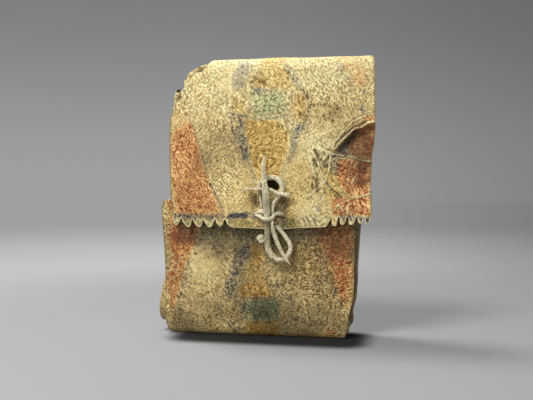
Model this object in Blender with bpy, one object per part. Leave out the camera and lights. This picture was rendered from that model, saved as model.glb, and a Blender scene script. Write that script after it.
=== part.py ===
"""Rawhide envelope case (parfleche), standing on its bottom fold with its front towards -Y.

One hide is folded round the cavity: the back panel with its four walls, two side flaps turned in,
a lower flap folded up over them, and an upper flap folded down in front, tied with a buckskin thong.
"""

import math

import bmesh
import bpy
from mathutils import Vector

# The case, in metres. It leans a little: its top stands to the right of its foot.
CASE_HEIGHT = 0.326
CASE_WIDTH = 0.225
CASE_DEPTH = 0.056
CASE_LEAN = 0.0285
CASE_OFFSET = -0.00125
HIDE = 0.0024
CROWN = 0.005
CREASE_GAP = 0.0003
CREASE_LIP = 0.0009

# How far each front layer lies behind the foremost face
LOWER_FLAP_SET_BACK = 0.0076
SIDE_FLAP_SET_BACK = 0.0108

# Outer radii of the folds
BACK_FOLD = 0.009
UPPER_FOLD = 0.016
LOWER_FOLD = 0.010
SIDE_FOLD = 0.010

# Upper flap: its width over all, and how far it hangs down from the top of the case
UPPER_FLAP_WIDTH = 0.2426
UPPER_FLAP_RIGHT = 0.1277
UPPER_FLAP_DROP = 0.1984
WORN_WALL = 0.020
WORN_WALL_LENGTH = 0.045

# Lower flap: its width over all and how far it stands up
LOWER_FLAP_WIDTH = 0.2306
LOWER_FLAP_LEFT = -0.1244
LOWER_FLAP_RISE = 0.1605

# Side flaps: how far they reach in, and how far their slanted ends stand off the end folds
SIDE_FLAP_REACH = 0.094
SIDE_FLAP_END = 0.022
SIDE_FLAP_SLANT = 0.100

# Teeth of the upper flap's edge, and the plain tab between them
TOOTH_DEPTH = 0.0092
TAB_DEPTH = 0.0125
LEFT_TEETH = 5
LEFT_TOOTH_PITCH = 0.0137
RIGHT_TEETH = 5
RIGHT_TOOTH_PITCH = 0.0094
HEM_MARGIN = 0.0009

# Tie
TIE_HOLE = 0.0027
TIE_HOLE_SPACING = 0.0330
TIE_HOLE_X = 0.00775
TIE_HOLE_RISE = 0.0126
THONG = 0.0046
THIN_THONG = 0.0034
TAIL_THONG = 0.0030
BACK_RUN_WIDTH = 0.0050
BACK_RUN_THICKNESS = 0.0022
KNOT_SIZE = 0.0078
CUT_OVERRUN = 0.010

TOP_HINGE_Y = -CASE_DEPTH / 2 + UPPER_FOLD
LOWER_FRONT = -CASE_DEPTH / 2 + LOWER_FLAP_SET_BACK
BOTTOM_HINGE_Y = LOWER_FRONT + LOWER_FOLD
SIDE_FRONT = -CASE_DEPTH / 2 + SIDE_FLAP_SET_BACK
SIDE_HINGE_Y = SIDE_FRONT + SIDE_FOLD
BACK = CASE_DEPTH / 2
HALF_TURN = math.pi / 2

# Steps of the grids
FOLD_STEPS = 5
BACK_FOLD_STEPS = 4
PANEL_ROWS = 9
BACK_ROWS = 10
BACK_COLUMNS = 8
WALL_STEPS = 3


def case_middle(z):
    """Where the case's middle lies at a height, since it leans."""
    return CASE_OFFSET + CASE_LEAN * (z / CASE_HEIGHT - 0.5)


def recess(x, z):
    """How far the bulged front lies back from its foremost point."""
    across = min(1.0, abs(x - case_middle(z)) / (CASE_WIDTH / 2))
    up = min(1.0, abs(z - CASE_HEIGHT / 2) / (CASE_HEIGHT / 2))
    return CROWN * (1 - (1 - across**3) * (1 - up**4))


def mix(a, b, share):
    return a + (b - a) * share


def along(pairs, place):
    """Reads a smooth line through (place, value) pairs."""
    slopes = []
    for i in range(len(pairs)):
        before, after = pairs[max(0, i - 1)], pairs[min(len(pairs) - 1, i + 1)]
        slopes.append((after[1] - before[1]) / (after[0] - before[0]))
    place = min(max(place, pairs[0][0]), pairs[-1][0])
    for i in range(len(pairs) - 1):
        (p0, v0), (p1, v1) = pairs[i], pairs[i + 1]
        if place <= p1:
            break
    t = (place - p0) / (p1 - p0)
    m0, m1 = slopes[i] * (p1 - p0), slopes[i + 1] * (p1 - p0)
    return v0 + m0 * t + (3 * (v1 - v0) - 2 * m0 - m1) * t**2 + (2 * (v0 - v1) + m0 + m1) * t**3


def steps(count):
    return [i / count for i in range(count + 1)]


def fold_rows(hinge_y, radius):
    """The rows of a fold, from its crease to where the panel starts.

    Each is a turned angle, and a rule for how far forward it lies. The first two make a straight lip.
    """
    start = hinge_y - CREASE_GAP
    rows = [(0, lambda back: start)]
    for share in steps(FOLD_STEPS)[:-1]:
        sine = math.sin(share * HALF_TURN)
        reach = radius - CREASE_GAP - CREASE_LIP
        rows.append((share * HALF_TURN, lambda back, sine=sine: start - CREASE_LIP - (reach - back) * sine))
    return rows


def leather(name, colour, roughness):
    material = bpy.data.materials.new(name)
    material.use_nodes = True
    shader = material.node_tree.nodes["Principled BSDF"]
    shader.inputs["Base Color"].default_value = (*colour, 1)
    shader.inputs["Roughness"].default_value = roughness
    shader.inputs["Metallic"].default_value = 0
    material.diffuse_color = (*colour, 1)
    return material


def skin(name, rows, material, origin):
    """A closed sheet of hide from a grid of points on its outer face, given its thickness inwards.

    A None in the grid leaves the corner out. Rows run upwards and columns to the right as seen from outside.
    """
    mesh = bpy.data.meshes.new(name)
    build = bmesh.new()
    grid = [[None if p is None else build.verts.new(Vector(p) - origin) for p in row] for row in rows]
    for low, high in zip(grid, grid[1:]):
        for i in range(len(low) - 1):
            corners = (low[i], low[i + 1], high[i + 1], high[i])
            if all(corner is not None for corner in corners):
                build.faces.new(corners)
    loose = [v for v in build.verts if not v.link_faces]
    bmesh.ops.delete(build, geom=loose, context="VERTS")
    build.to_mesh(mesh)
    build.free()
    mesh.materials.append(material)
    obj = bpy.data.objects.new(name, mesh)
    obj.location = origin
    bpy.context.scene.collection.objects.link(obj)
    wall = obj.modifiers.new("hide", "SOLIDIFY")
    wall.thickness = HIDE
    wall.offset = -1
    wall.use_even_offset = True
    mesh.shade_smooth()
    return obj


# The back panel and the four walls round it


def wall_top_limits(share):
    """Left and right edges of the top wall, from the back fold (0) to the crease of the upper flap (1)."""
    back_left = case_middle(CASE_HEIGHT) - CASE_WIDTH / 2 + BACK_FOLD
    back_right = case_middle(CASE_HEIGHT) + CASE_WIDTH / 2 - BACK_FOLD
    front_left, front_right = upper_flap_edges(0)
    return mix(back_left, front_left, share), mix(back_right, front_right, share)


def wall_bottom_limits(share):
    """Left and right edges of the bottom wall, from the back fold (0) to the crease of the lower flap (1)."""
    back_left = case_middle(0) - CASE_WIDTH / 2 + BACK_FOLD
    back_right = case_middle(0) + CASE_WIDTH / 2 - BACK_FOLD
    front_left, front_right = lower_flap_edges(0)
    return mix(back_left, front_left, share), mix(back_right, front_right, share)


def back_panel(material):
    """The back with its folds: the corners between two folds are moulded as parts of a ball."""
    fold = steps(BACK_FOLD_STEPS)
    fold_length = BACK_FOLD * HALF_TURN
    flat_back = BACK - BACK_FOLD
    wall = steps(WALL_STEPS)[1:]
    # Places across: side of the wall (-1 or 1), share of the fold, share of the flat wall, share of the back
    across = [(-1, 1, w, 0) for w in reversed(wall)]
    across += [(-1, f, 0, 0) for f in reversed(fold[1:])]
    across += [(0, 0, 0, b) for b in steps(BACK_COLUMNS)]
    across += [(1, f, 0, 1) for f in fold[1:]]
    across += [(1, 1, w, 1) for w in wall]
    upwards = [(-1, 1, w, 0) for w in reversed(wall)]
    upwards += [(-1, f, 0, 0) for f in reversed(fold[1:])]
    upwards += [(0, 0, 0, b) for b in steps(BACK_ROWS)]
    upwards += [(1, f, 0, 1) for f in fold[1:]]
    upwards += [(1, 1, w, 1) for w in wall]
    first_share = fold[1]

    def place(col, row):
        side, side_fold, side_wall, across_share = col
        end, end_fold, end_wall, up_share = row
        middle_z = BACK_FOLD + (CASE_HEIGHT - 2 * BACK_FOLD) * up_share
        half = CASE_WIDTH / 2 - BACK_FOLD
        middle_x = mix(-half, half, across_share)
        round_share = math.hypot(side_fold, end_fold)
        if side_wall and end_fold > first_share:
            return None
        if end_wall and side_fold > first_share:
            return None
        if side_fold and end_fold and round_share > 1 and min(side_fold, end_fold) > first_share:
            return None
        if side_fold and end_fold and not side_wall and not end_wall and round_share <= 1:
            angle = round_share * HALF_TURN
            turn = math.atan2(end_fold, side_fold)
            reach = BACK_FOLD * math.sin(angle)
            x = middle_x + side * reach * math.cos(turn)
            z = middle_z + end * reach * math.sin(turn)
            y = flat_back + BACK_FOLD * math.cos(angle)
            return x + case_middle(z), y, z
        if side_fold == 1 and end_fold <= first_share:
            z = middle_z + end * fold_length * end_fold
            worn_from = CASE_HEIGHT - WORN_WALL_LENGTH
            if side < 0 and z > worn_from:
                z -= WORN_WALL * side_wall * (z - worn_from) / WORN_WALL_LENGTH
            y = mix(flat_back, SIDE_HINGE_Y, side_wall)
            return middle_x + side * BACK_FOLD + case_middle(z), y, z
        if end_fold == 1 and side_fold <= first_share:
            z = middle_z + end * BACK_FOLD
            hinge = BOTTOM_HINGE_Y if end < 0 else TOP_HINGE_Y
            y = mix(flat_back, hinge, end_wall)
            limits = wall_bottom_limits if end < 0 else wall_top_limits
            reach = half + fold_length * first_share
            left, right = limits(end_wall)
            share = (middle_x + side * fold_length * side_fold + reach) / (2 * reach)
            plain = middle_x + side * fold_length * side_fold + case_middle(z)
            return mix(plain, mix(left, right, share), end_wall), y, z
        angle = side_fold * HALF_TURN
        tilt = end_fold * HALF_TURN
        x = middle_x + side * BACK_FOLD * math.sin(angle)
        z = middle_z + end * BACK_FOLD * math.sin(tilt)
        y = BACK - BACK_FOLD * (1 - math.cos(angle)) - BACK_FOLD * (1 - math.cos(tilt))
        return x + case_middle(z), y, z

    # Seen from outside, behind, the columns run the other way
    rows = [[place(col, row) for col in reversed(across)] for row in upwards]
    return skin("back_panel", rows, material, Vector((0, 0, 0)))


# The upper flap, worn away along a slant at its top left


def upper_flap_edges(drop):
    """Left and right edges of the upper flap at a distance below the top of the case."""
    share = drop / UPPER_FLAP_DROP
    worn_shares = [
        (0.0, 0.786),
        (0.03, 0.803),
        (0.13, 0.898),
        (0.205, 0.966),
        (0.345, 0.994),
        (0.54, 1.0),
        (0.90, 0.975),
        (1.0, 0.970),
    ]
    right_shares = [(0.0, 0.0012), (0.38, 0.0), (0.72, 0.0165), (1.0, 0.0206)]
    left = UPPER_FLAP_RIGHT - UPPER_FLAP_WIDTH * along(worn_shares, share)
    right = UPPER_FLAP_RIGHT - UPPER_FLAP_WIDTH * along(right_shares, share)
    return left, right


def hem_line():
    """Places along the toothed edge, each a distance from the flap's left edge and a drop past the valleys."""
    left, right = upper_flap_edges(UPPER_FLAP_DROP)
    width = right - left
    tooth_shares = [(0.0, 0.0), (0.2, 0.62), (0.5, 1.0), (0.8, 0.62)]
    line = [(0, 0)]
    for i in range(LEFT_TEETH):
        line += [((i + s) * LEFT_TOOTH_PITCH + HEM_MARGIN, TOOTH_DEPTH * d) for s, d in tooth_shares]
    tab_left = LEFT_TEETH * LEFT_TOOTH_PITCH + HEM_MARGIN
    tab_right = width - RIGHT_TEETH * RIGHT_TOOTH_PITCH - HEM_MARGIN
    tab_shares = [(0.0, 0.0), (0.05, 0.72), (0.16, 0.86), (0.30, 1.0), (0.46, 1.0), (0.62, 0.92), (0.80, 0.84)]
    tab_shares += [(0.95, 0.74)]
    line += [(mix(tab_left, tab_right, s), TAB_DEPTH * d) for s, d in tab_shares]
    for i in range(RIGHT_TEETH):
        line += [(tab_right + (i + s) * RIGHT_TOOTH_PITCH, TOOTH_DEPTH * d) for s, d in tooth_shares]
    line += [(width - HEM_MARGIN, 0), (width, 0)]
    return line, width


def upper_flap(material, origin):
    line, width = hem_line()
    valley_drop = UPPER_FLAP_DROP - TAB_DEPTH
    rows = []
    for share in reversed(steps(PANEL_ROWS)):
        row = []
        for place, tooth in line:
            drop = mix(UPPER_FOLD, valley_drop + tooth, share)
            left, right = upper_flap_edges(drop)
            x = mix(left, right, place / width)
            row.append((x, -CASE_DEPTH / 2 + recess(x, CASE_HEIGHT - drop), CASE_HEIGHT - drop))
        rows.append(row)
    for angle, forward in reversed(fold_rows(TOP_HINGE_Y, UPPER_FOLD)):
        drop = UPPER_FOLD * (1 - math.cos(angle))
        z = CASE_HEIGHT - drop
        left, right = upper_flap_edges(drop)
        xs = [mix(left, right, place / width) for place, _ in line]
        rows.append([(x, forward(recess(x, z)), z) for x in xs])
    flap = skin("upper_flap", rows, material, origin)
    for side in (-1, 1):
        mesh = bpy.data.meshes.new("tie_hole_cut")
        cut = bmesh.new()
        bmesh.ops.create_cone(
            cut,
            cap_ends=True,
            segments=12,
            radius1=TIE_HOLE,
            radius2=TIE_HOLE,
            depth=CUT_OVERRUN,
        )
        cut.to_mesh(mesh)
        cut.free()
        cutter = bpy.data.objects.new("tie_hole_cut", mesh)
        cutter.rotation_euler = (HALF_TURN, 0, 0)
        cutter.location = tie_hole(side)
        cutter.hide_render = True
        cutter.display_type = "WIRE"
        bpy.context.scene.collection.objects.link(cutter)
        hole = flap.modifiers.new("tie_hole", "BOOLEAN")
        hole.operation = "DIFFERENCE"
        hole.solver = "EXACT"
        hole.object = cutter
    return flap


def tie_hole(side):
    """The middle of a tie hole, in the thickness of the upper flap."""
    x = TIE_HOLE_X + side * TIE_HOLE_SPACING / 2
    z = CASE_HEIGHT - UPPER_FLAP_DROP + TIE_HOLE_RISE
    return Vector((x, -CASE_DEPTH / 2 + recess(x, z) + HIDE / 2, z))


# The lower flap, folded up from the bottom


def lower_flap_edges(rise):
    """Left and right edges of the lower flap at a height."""
    share = rise / LOWER_FLAP_RISE
    left_shares = [(0.0, 0.078), (0.02, 0.060), (0.055, 0.036), (0.16, 0.016), (0.60, 0.011), (0.96, 0.0), (1.0, 0.008)]
    right_shares = [(0.0, 0.939), (0.05, 0.952), (0.14, 0.966), (0.28, 0.985), (0.50, 0.995), (1.0, 1.0)]
    left = LOWER_FLAP_LEFT + LOWER_FLAP_WIDTH * along(left_shares, share)
    right = LOWER_FLAP_LEFT + LOWER_FLAP_WIDTH * along(right_shares, share)
    return left, right


def lower_flap(material, origin):
    column_shares = [0.0, 0.03, 0.08, 0.16, 0.26, 0.37, 0.48, 0.59, 0.70, 0.80, 0.88, 0.95, 1.0]
    rows = []
    for angle, forward in fold_rows(BOTTOM_HINGE_Y, LOWER_FOLD):
        z = LOWER_FOLD * (1 - math.cos(angle))
        left, right = lower_flap_edges(z)
        xs = [mix(left, right, column) for column in column_shares]
        rows.append([(x, forward(recess(x, z)), z) for x in xs])
    for share in steps(PANEL_ROWS + 2):
        z = mix(LOWER_FOLD, LOWER_FLAP_RISE, share)
        left, right = lower_flap_edges(z)
        xs = [mix(left, right, column) for column in column_shares]
        rows.append([(x, LOWER_FRONT + recess(x, z), z) for x in xs])
    return skin("lower_flap", rows, material, origin)


# The side flaps, turned in under the end flaps, with slanted ends


def side_crease(side, z):
    """The outer edge of a side wall, where its flap folds in."""
    return case_middle(z) + side * CASE_WIDTH / 2


def side_flap(name, side, material, origin):
    stations = [(angle, forward, 0) for angle, forward in fold_rows(SIDE_HINGE_Y, SIDE_FOLD)]
    reach_shares = [0.0, 0.12, 0.28, 0.46, 0.64, 0.82, 1.0]
    panel = SIDE_FLAP_REACH - SIDE_FOLD
    stations += [(HALF_TURN, lambda back: SIDE_FRONT + back, panel * share) for share in reach_shares]
    rows = []
    for up in steps(PANEL_ROWS):
        row = []
        for angle, forward, reach in stations:
            inwards = SIDE_FOLD * (1 - math.cos(angle)) + reach
            slope = SIDE_FLAP_SLANT * inwards / SIDE_FLAP_REACH
            z = mix(SIDE_FLAP_END + slope, CASE_HEIGHT - SIDE_FLAP_END - slope, up)
            x = side_crease(side, z) - side * inwards
            row.append((x, forward(recess(x, z)), z))
        rows.append(row if side < 0 else row[::-1])
    return skin(name, rows, material, origin)


# The tie


def smooth_route(points, spacing):
    """Points along a smooth curve through the route's own points."""
    ends = [2 * points[0] - points[1], *points, 2 * points[-1] - points[-2]]
    route = []
    for a, b, c, d in zip(ends, ends[1:], ends[2:], ends[3:]):
        count = max(1, round((c - b).length / spacing))
        for i in range(count):
            t = i / count
            bend = (2 * a - 5 * b + 4 * c - d) * t * t + (3 * b - a - 3 * c + d) * t * t * t
            route.append((2 * b + (c - a) * t + bend) / 2)
    route.append(points[-1])
    return route


def thong(name, points, diameter, material, origin):
    """A free stretch of thong: a round tube along its route."""
    route = smooth_route([Vector(p) for p in points], 2 * diameter)
    curve = bpy.data.curves.new(name, "CURVE")
    curve.dimensions = "3D"
    curve.bevel_depth = diameter / 2
    curve.bevel_resolution = 2
    curve.use_fill_caps = True
    spline = curve.splines.new("POLY")
    spline.points.add(len(route) - 1)
    for point, place in zip(spline.points, route):
        point.co = (*(place - origin), 1)
    curve.materials.append(material)
    obj = bpy.data.objects.new(name, curve)
    obj.location = origin
    bpy.context.scene.collection.objects.link(obj)
    return obj


# Routes of the tie's stretches, in metres: across, forward and up
STRAP_ROUTE = [
    (0.0020, -0.0405, 0.2110),
    (0.0004, -0.0398, 0.2000),
    (0.0011, -0.0393, 0.1885),
    (0.0031, -0.0392, 0.1765),
    (0.0036, -0.0380, 0.1650),
    (0.0046, -0.0345, 0.1530),
    (0.0056, -0.0322, 0.1428),
    (0.0058, -0.0313, 0.1325),
    (0.0057, -0.0303, 0.1215),
    (0.0058, -0.0286, 0.1105),
    (0.0078, -0.0277, 0.1020),
    (0.0120, -0.0273, 0.0945),
    (0.0185, -0.0272, 0.0912),
    (0.0245, -0.0272, 0.0928),
    (0.0300, -0.0272, 0.0978),
    (0.0328, -0.0274, 0.1045),
    (0.0305, -0.0280, 0.1125),
    (0.0240, -0.0293, 0.1205),
    (0.0180, -0.0308, 0.1270),
]
TAIL_ROUTE = [
    (0.0120, -0.0352, 0.1355),
    (0.0131, -0.0350, 0.1260),
    (0.0158, -0.0338, 0.1150),
    (0.0208, -0.0324, 0.1052),
    (0.0258, -0.0316, 0.0960),
    (0.0300, -0.0314, 0.0890),
    (0.0334, -0.0305, 0.0850),
]
RING_ROUTE = [
    (-0.0025, -0.0304, 0.1560),
    (-0.0036, -0.0303, 0.1640),
    (-0.0044, -0.0303, 0.1740),
    (-0.0030, -0.0304, 0.1832),
    (0.0045, -0.0306, 0.1872),
    (0.0125, -0.0306, 0.1882),
    (0.0190, -0.0305, 0.1855),
    (0.0235, -0.0304, 0.1800),
    (0.0245, -0.0303, 0.1725),
    (0.0212, -0.0303, 0.1665),
    (0.0170, -0.0303, 0.1610),
    (0.0140, -0.0303, 0.1555),
    (0.0125, -0.0303, 0.1500),
]
CROSS_ROUTE = [
    (-0.0250, -0.0335, 0.1732),
    (-0.0205, -0.0337, 0.1740),
    (-0.0160, -0.0340, 0.1726),
    (-0.0100, -0.0342, 0.1730),
    (-0.0040, -0.0342, 0.1728),
    (0.0030, -0.0340, 0.1725),
    (0.0090, -0.0340, 0.1722),
    (0.0150, -0.0340, 0.1705),
    (0.0200, -0.0342, 0.1685),
    (0.0250, -0.0342, 0.1670),
    (0.0306, -0.0340, 0.1655),
]


def tie_wrap(material, origin):
    """The turn over the strap, in at one tie hole and out at the other."""
    left = tie_hole(-1)
    right = tie_hole(1)
    behind = left.y + HIDE / 2
    surface = left.y - HIDE / 2
    low = surface - THIN_THONG
    crest = STRAP_ROUTE[6][1] - THONG / 2 - THIN_THONG / 2 - CREASE_GAP
    points = [
        (left.x, behind, left.z),
        (left.x, surface, left.z),
        (mix(left.x, right.x, 0.10), low, left.z),
        (mix(left.x, right.x, 0.25), mix(low, crest, 0.6), left.z - HIDE / 2),
        (mix(left.x, right.x, 0.44), crest, left.z - HIDE),
        (mix(left.x, right.x, 0.65), mix(low, crest, 0.6), left.z - HIDE / 2),
        (mix(left.x, right.x, 0.90), low, right.z),
        (right.x, surface, right.z),
        (right.x, behind, right.z),
    ]
    return thong("tie_wrap", points, THIN_THONG, material, origin)


def tie_back_run(material, origin):
    """The flattened run of thong behind the flap, from hole to hole."""
    left = tie_hole(-1)
    right = tie_hole(1)
    mesh = bpy.data.meshes.new("tie_back_run")
    build = bmesh.new()
    bmesh.ops.create_cube(build, size=1)
    length = right.x - left.x + BACK_RUN_WIDTH
    bmesh.ops.scale(build, vec=(length, BACK_RUN_THICKNESS, BACK_RUN_WIDTH), verts=build.verts)
    middle = (left + right) / 2
    middle.y += HIDE / 2 + CREASE_GAP + BACK_RUN_THICKNESS / 2
    bmesh.ops.translate(build, vec=middle - origin, verts=build.verts)
    uprights = [e for e in build.edges if abs(e.verts[0].co.y - e.verts[1].co.y) > BACK_RUN_THICKNESS / 2]
    bmesh.ops.bevel(build, geom=uprights, offset=BACK_RUN_WIDTH / 3, segments=3, affect="EDGES", profile=0.5)
    build.to_mesh(mesh)
    build.free()
    mesh.materials.append(material)
    obj = bpy.data.objects.new("tie_back_run", mesh)
    obj.location = origin
    bpy.context.scene.collection.objects.link(obj)
    return obj


def tie_knot(material, origin):
    """The small knot beside the strap, below the flap's edge."""
    mesh = bpy.data.meshes.new("tie_knot")
    build = bmesh.new()
    bmesh.ops.create_uvsphere(build, u_segments=12, v_segments=8, radius=KNOT_SIZE / 2)
    strap = Vector(STRAP_ROUTE[8])
    place = Vector((strap.x - THONG / 2 - KNOT_SIZE / 2 - 2 * CREASE_GAP, strap.y, strap.z - KNOT_SIZE / 2))
    bmesh.ops.translate(build, vec=place - origin, verts=build.verts)
    build.to_mesh(mesh)
    build.free()
    mesh.materials.append(material)
    mesh.shade_smooth()
    obj = bpy.data.objects.new("tie_knot", mesh)
    obj.location = origin
    bpy.context.scene.collection.objects.link(obj)
    return obj


def main():
    for obj in list(bpy.data.objects):
        bpy.data.objects.remove(obj)
    rawhide = leather("rawhide", (0.42, 0.34, 0.22), 0.75)
    buckskin = leather("buckskin", (0.62, 0.55, 0.42), 0.9)
    top_crease = Vector((0, TOP_HINGE_Y, CASE_HEIGHT))
    bottom_crease = Vector((0, BOTTOM_HINGE_Y, 0))
    back_panel(rawhide)
    upper_flap(rawhide, top_crease)
    lower_flap(rawhide, bottom_crease)
    for name, side in (("left_side_flap", -1), ("right_side_flap", 1)):
        crease = Vector((side_crease(side, CASE_HEIGHT / 2), SIDE_HINGE_Y, CASE_HEIGHT / 2))
        side_flap(name, side, rawhide, crease)
    thong("tie_strap", STRAP_ROUTE, THONG, buckskin, top_crease)
    thong("tie_tail", TAIL_ROUTE, TAIL_THONG, buckskin, top_crease)
    thong("tie_ring", RING_ROUTE, THIN_THONG, buckskin, top_crease)
    thong("tie_cross", CROSS_ROUTE, THIN_THONG, buckskin, top_crease)
    tie_wrap(buckskin, top_crease)
    tie_back_run(buckskin, top_crease)
    tie_knot(buckskin, top_crease)


main()
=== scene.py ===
"""A small rawhide parfleche: one hide folded round its cavity, painted, and closed by a buckskin thong."""

import math

import bmesh
import bpy
import numpy as np
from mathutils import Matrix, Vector, noise


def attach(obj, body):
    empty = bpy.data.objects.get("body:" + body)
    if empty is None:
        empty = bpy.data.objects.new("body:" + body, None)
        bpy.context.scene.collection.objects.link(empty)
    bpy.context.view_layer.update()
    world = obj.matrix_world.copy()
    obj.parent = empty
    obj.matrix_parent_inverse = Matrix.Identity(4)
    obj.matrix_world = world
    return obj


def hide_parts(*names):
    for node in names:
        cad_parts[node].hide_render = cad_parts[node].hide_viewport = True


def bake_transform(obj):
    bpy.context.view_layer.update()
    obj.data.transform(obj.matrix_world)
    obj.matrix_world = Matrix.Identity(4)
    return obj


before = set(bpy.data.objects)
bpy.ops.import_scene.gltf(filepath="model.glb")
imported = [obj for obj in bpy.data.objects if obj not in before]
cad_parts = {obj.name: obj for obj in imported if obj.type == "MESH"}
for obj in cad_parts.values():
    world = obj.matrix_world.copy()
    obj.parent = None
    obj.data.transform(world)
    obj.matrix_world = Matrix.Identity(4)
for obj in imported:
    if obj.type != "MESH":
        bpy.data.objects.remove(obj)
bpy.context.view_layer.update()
bpy.ops.object.select_all(action="DESELECT")

# The camera stands a little to the right of the case and just above its middle,
# and looks slightly down at it.
CAMERA_TURN = math.radians(12)
CAMERA_DISTANCE = 0.955
CAMERA_HEIGHT = 0.1825
CAMERA_SHIFT = 0.0024
CAMERA_DIP = 1.36
camera_x = CAMERA_DISTANCE * math.sin(CAMERA_TURN) - CAMERA_SHIFT
bpy.ops.object.camera_add(
    location=(camera_x, -CAMERA_DISTANCE * math.cos(CAMERA_TURN), CAMERA_HEIGHT),
    rotation=(math.radians(90 - CAMERA_DIP), 0, CAMERA_TURN),
)
camera = bpy.context.object
camera.data.lens = 54.03
camera.data.sensor_width = 36
bpy.context.scene.camera = camera


# The back panel with the four walls round the cavity. The wet hide was drawn over its contents, so the
# folds are soft, the corners between two walls are moulded, and the walls dried with shallow furrows.
# The case leans a little to the right, and its front faces bulge: every panel below follows that shape.
CASE_HEIGHT = 0.326
CASE_WIDTH = 0.225
CASE_DEPTH = 0.056
CASE_LEAN = 0.0285
CASE_OFFSET = -0.00125
HIDE = 0.0024
CROWN = 0.005
BACK_FOLD = 0.009
TOP_HINGE_Y = -0.012
BOTTOM_HINGE_Y = -0.0104
SIDE_HINGE_Y = -0.0072
HALF_TURN = math.pi / 2
MM = 0.001


def case_middle(z):
    """Where the case's middle lies at a height, since it leans."""
    return CASE_OFFSET + CASE_LEAN * (z / CASE_HEIGHT - 0.5)


def recess(x, z):
    """How far the bulged front lies back from its foremost point."""
    across = np.minimum(1, np.abs(x - case_middle(z)) / (CASE_WIDTH / 2))
    up = np.minimum(1, np.abs(z - CASE_HEIGHT / 2) / (CASE_HEIGHT / 2))
    return CROWN * (1 - (1 - across**3) * (1 - up**4))


def mix(a, b, share):
    return a + (b - a) * share


def ease(share):
    """A soft step from 0 to 1."""
    share = np.clip(share, 0, 1)
    return share * share * (3 - 2 * share)


def ripple(x, y, z, size, seed):
    """Soft unevenness between about -1 and 1, in swells of a given size."""
    spots = np.stack(np.broadcast_arrays(x, y, z), axis=-1).reshape(-1, 3) / size + (seed, 0, -seed)
    swells = [noise.noise(Vector(spot)) for spot in spots]
    return 1.4 * np.array(swells).reshape(np.broadcast(x, y, z).shape)


def lay_sheet(name, columns, rows, place):
    """Lays a flat grid of hide to its folded place: place turns columns and rows into points."""
    bpy.ops.object.select_all(action="DESELECT")
    bpy.ops.mesh.primitive_grid_add(x_subdivisions=columns, y_subdivisions=rows, size=1)
    sheet = bpy.context.object
    sheet.name = name
    flat = np.empty(3 * len(sheet.data.vertices))
    sheet.data.vertices.foreach_get("co", flat)
    flat = flat.reshape(-1, 3)
    across = np.rint((flat[:, 0] + 0.5) * columns).astype(int)
    up = np.rint((flat[:, 1] + 0.5) * rows).astype(int)
    points = place(across, up)
    sheet.data.vertices.foreach_set("co", np.ascontiguousarray(points, float).ravel())
    sheet.data.update()
    return sheet, points


def mark(sheet, name, values):
    """Writes one number a point, for the materials to read."""
    values = np.ascontiguousarray(values, np.float32)
    sheet.data.attributes.new(name, "FLOAT", "POINT").data.foreach_set("value", values)


def thicken(sheet, outside):
    """Gives a laid sheet its thickness inwards, with its own material inside and on its cut edge."""
    for material in (outside, FLESH_SIDE, CUT):
        sheet.data.materials.append(material)
    wall = sheet.modifiers.new("hide", "SOLIDIFY")
    wall.thickness = HIDE
    wall.offset = -1
    wall.use_even_offset = False
    wall.material_offset = 1
    wall.material_offset_rim = 2
    worn = sheet.modifiers.new("worn_corners", "BEVEL")
    worn.width = 0.0004
    worn.segments = 1
    worn.limit_method = "ANGLE"
    worn.angle_limit = math.radians(65)
    bpy.context.view_layer.objects.active = sheet
    for modifier in ("hide", "worn_corners"):
        bpy.ops.object.modifier_apply(modifier=modifier)
    sheet.data.shade_smooth()


def tint(red, green, blue):
    """A colour as it looks, 0 to 255, turned into the light that it reflects."""
    shares = [c / 255 for c in (red, green, blue)]
    return (*[c / 12.92 if c <= 0.04045 else ((c + 0.055) / 1.055) ** 2.4 for c in shares], 1)


class Value:
    """An output of a material's node. A sum made with it adds the node that works it out."""

    def __init__(self, socket):
        self.socket = socket

    def __getitem__(self, name):
        """Another output of the same node."""
        return Value(self.socket.node.outputs[name])

    def __add__(self, other):
        return put("ShaderNodeMath", {0: self, 1: other}, operation="ADD")

    def __sub__(self, other):
        return put("ShaderNodeMath", {0: self, 1: other}, operation="SUBTRACT")

    def __rsub__(self, other):
        return put("ShaderNodeMath", {0: other, 1: self}, operation="SUBTRACT")

    def __mul__(self, other):
        return put("ShaderNodeMath", {0: self, 1: other}, operation="MULTIPLY")

    def clamped(self):
        """The last sum, kept between 0 and 1."""
        self.socket.node.use_clamp = True
        return self

    def spread(self, low, high, to_low=0.0, to_high=1.0):
        """Brings the value from low..high to to_low..to_high, softly."""
        inputs = {"Value": self, "From Min": low, "From Max": high, "To Min": to_low, "To Max": to_high}
        return put("ShaderNodeMapRange", inputs, interpolation_type="SMOOTHSTEP")

    def into(self, socket):
        """Joins the value to an input."""
        socket.id_data.links.new(self.socket, socket)


def put(kind, inputs, output=0, tree=None, **settings):
    """Adds a node, joins or sets its inputs, and gives one of its outputs."""
    values = [value for value in inputs.values() if isinstance(value, Value)]
    tree = tree or values[0].socket.id_data
    new = tree.nodes.new(kind)
    for key, value in settings.items():
        setattr(new, key, value)
    for key, value in inputs.items():
        if isinstance(value, Value):
            value.into(new.inputs[key])
        else:
            new.inputs[key].default_value = value
    return Value(new.outputs[output])


def between(share, a, b):
    """A value on the way from a to b."""
    return put("ShaderNodeMix", {0: share, 2: a, 3: b}, data_type="FLOAT")


def blend(share, under, over, way="MIX"):
    """Lays one colour over another."""
    return put("ShaderNodeMix", {0: share, 6: under, 7: over}, 2, data_type="RGBA", blend_type=way)


def clouds(place, scale, detail, roughness=0.5):
    """Cloudy noise between 0 and 1."""
    inputs = {"Vector": place, "Scale": scale, "Detail": detail, "Roughness": roughness}
    return put("ShaderNodeTexNoise", inputs)


def vectors(operation, a, b=(0, 0, 0), output=0):
    """One sum of two vectors."""
    return put("ShaderNodeVectorMath", {0: a, 1: b}, output, operation=operation)


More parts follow.
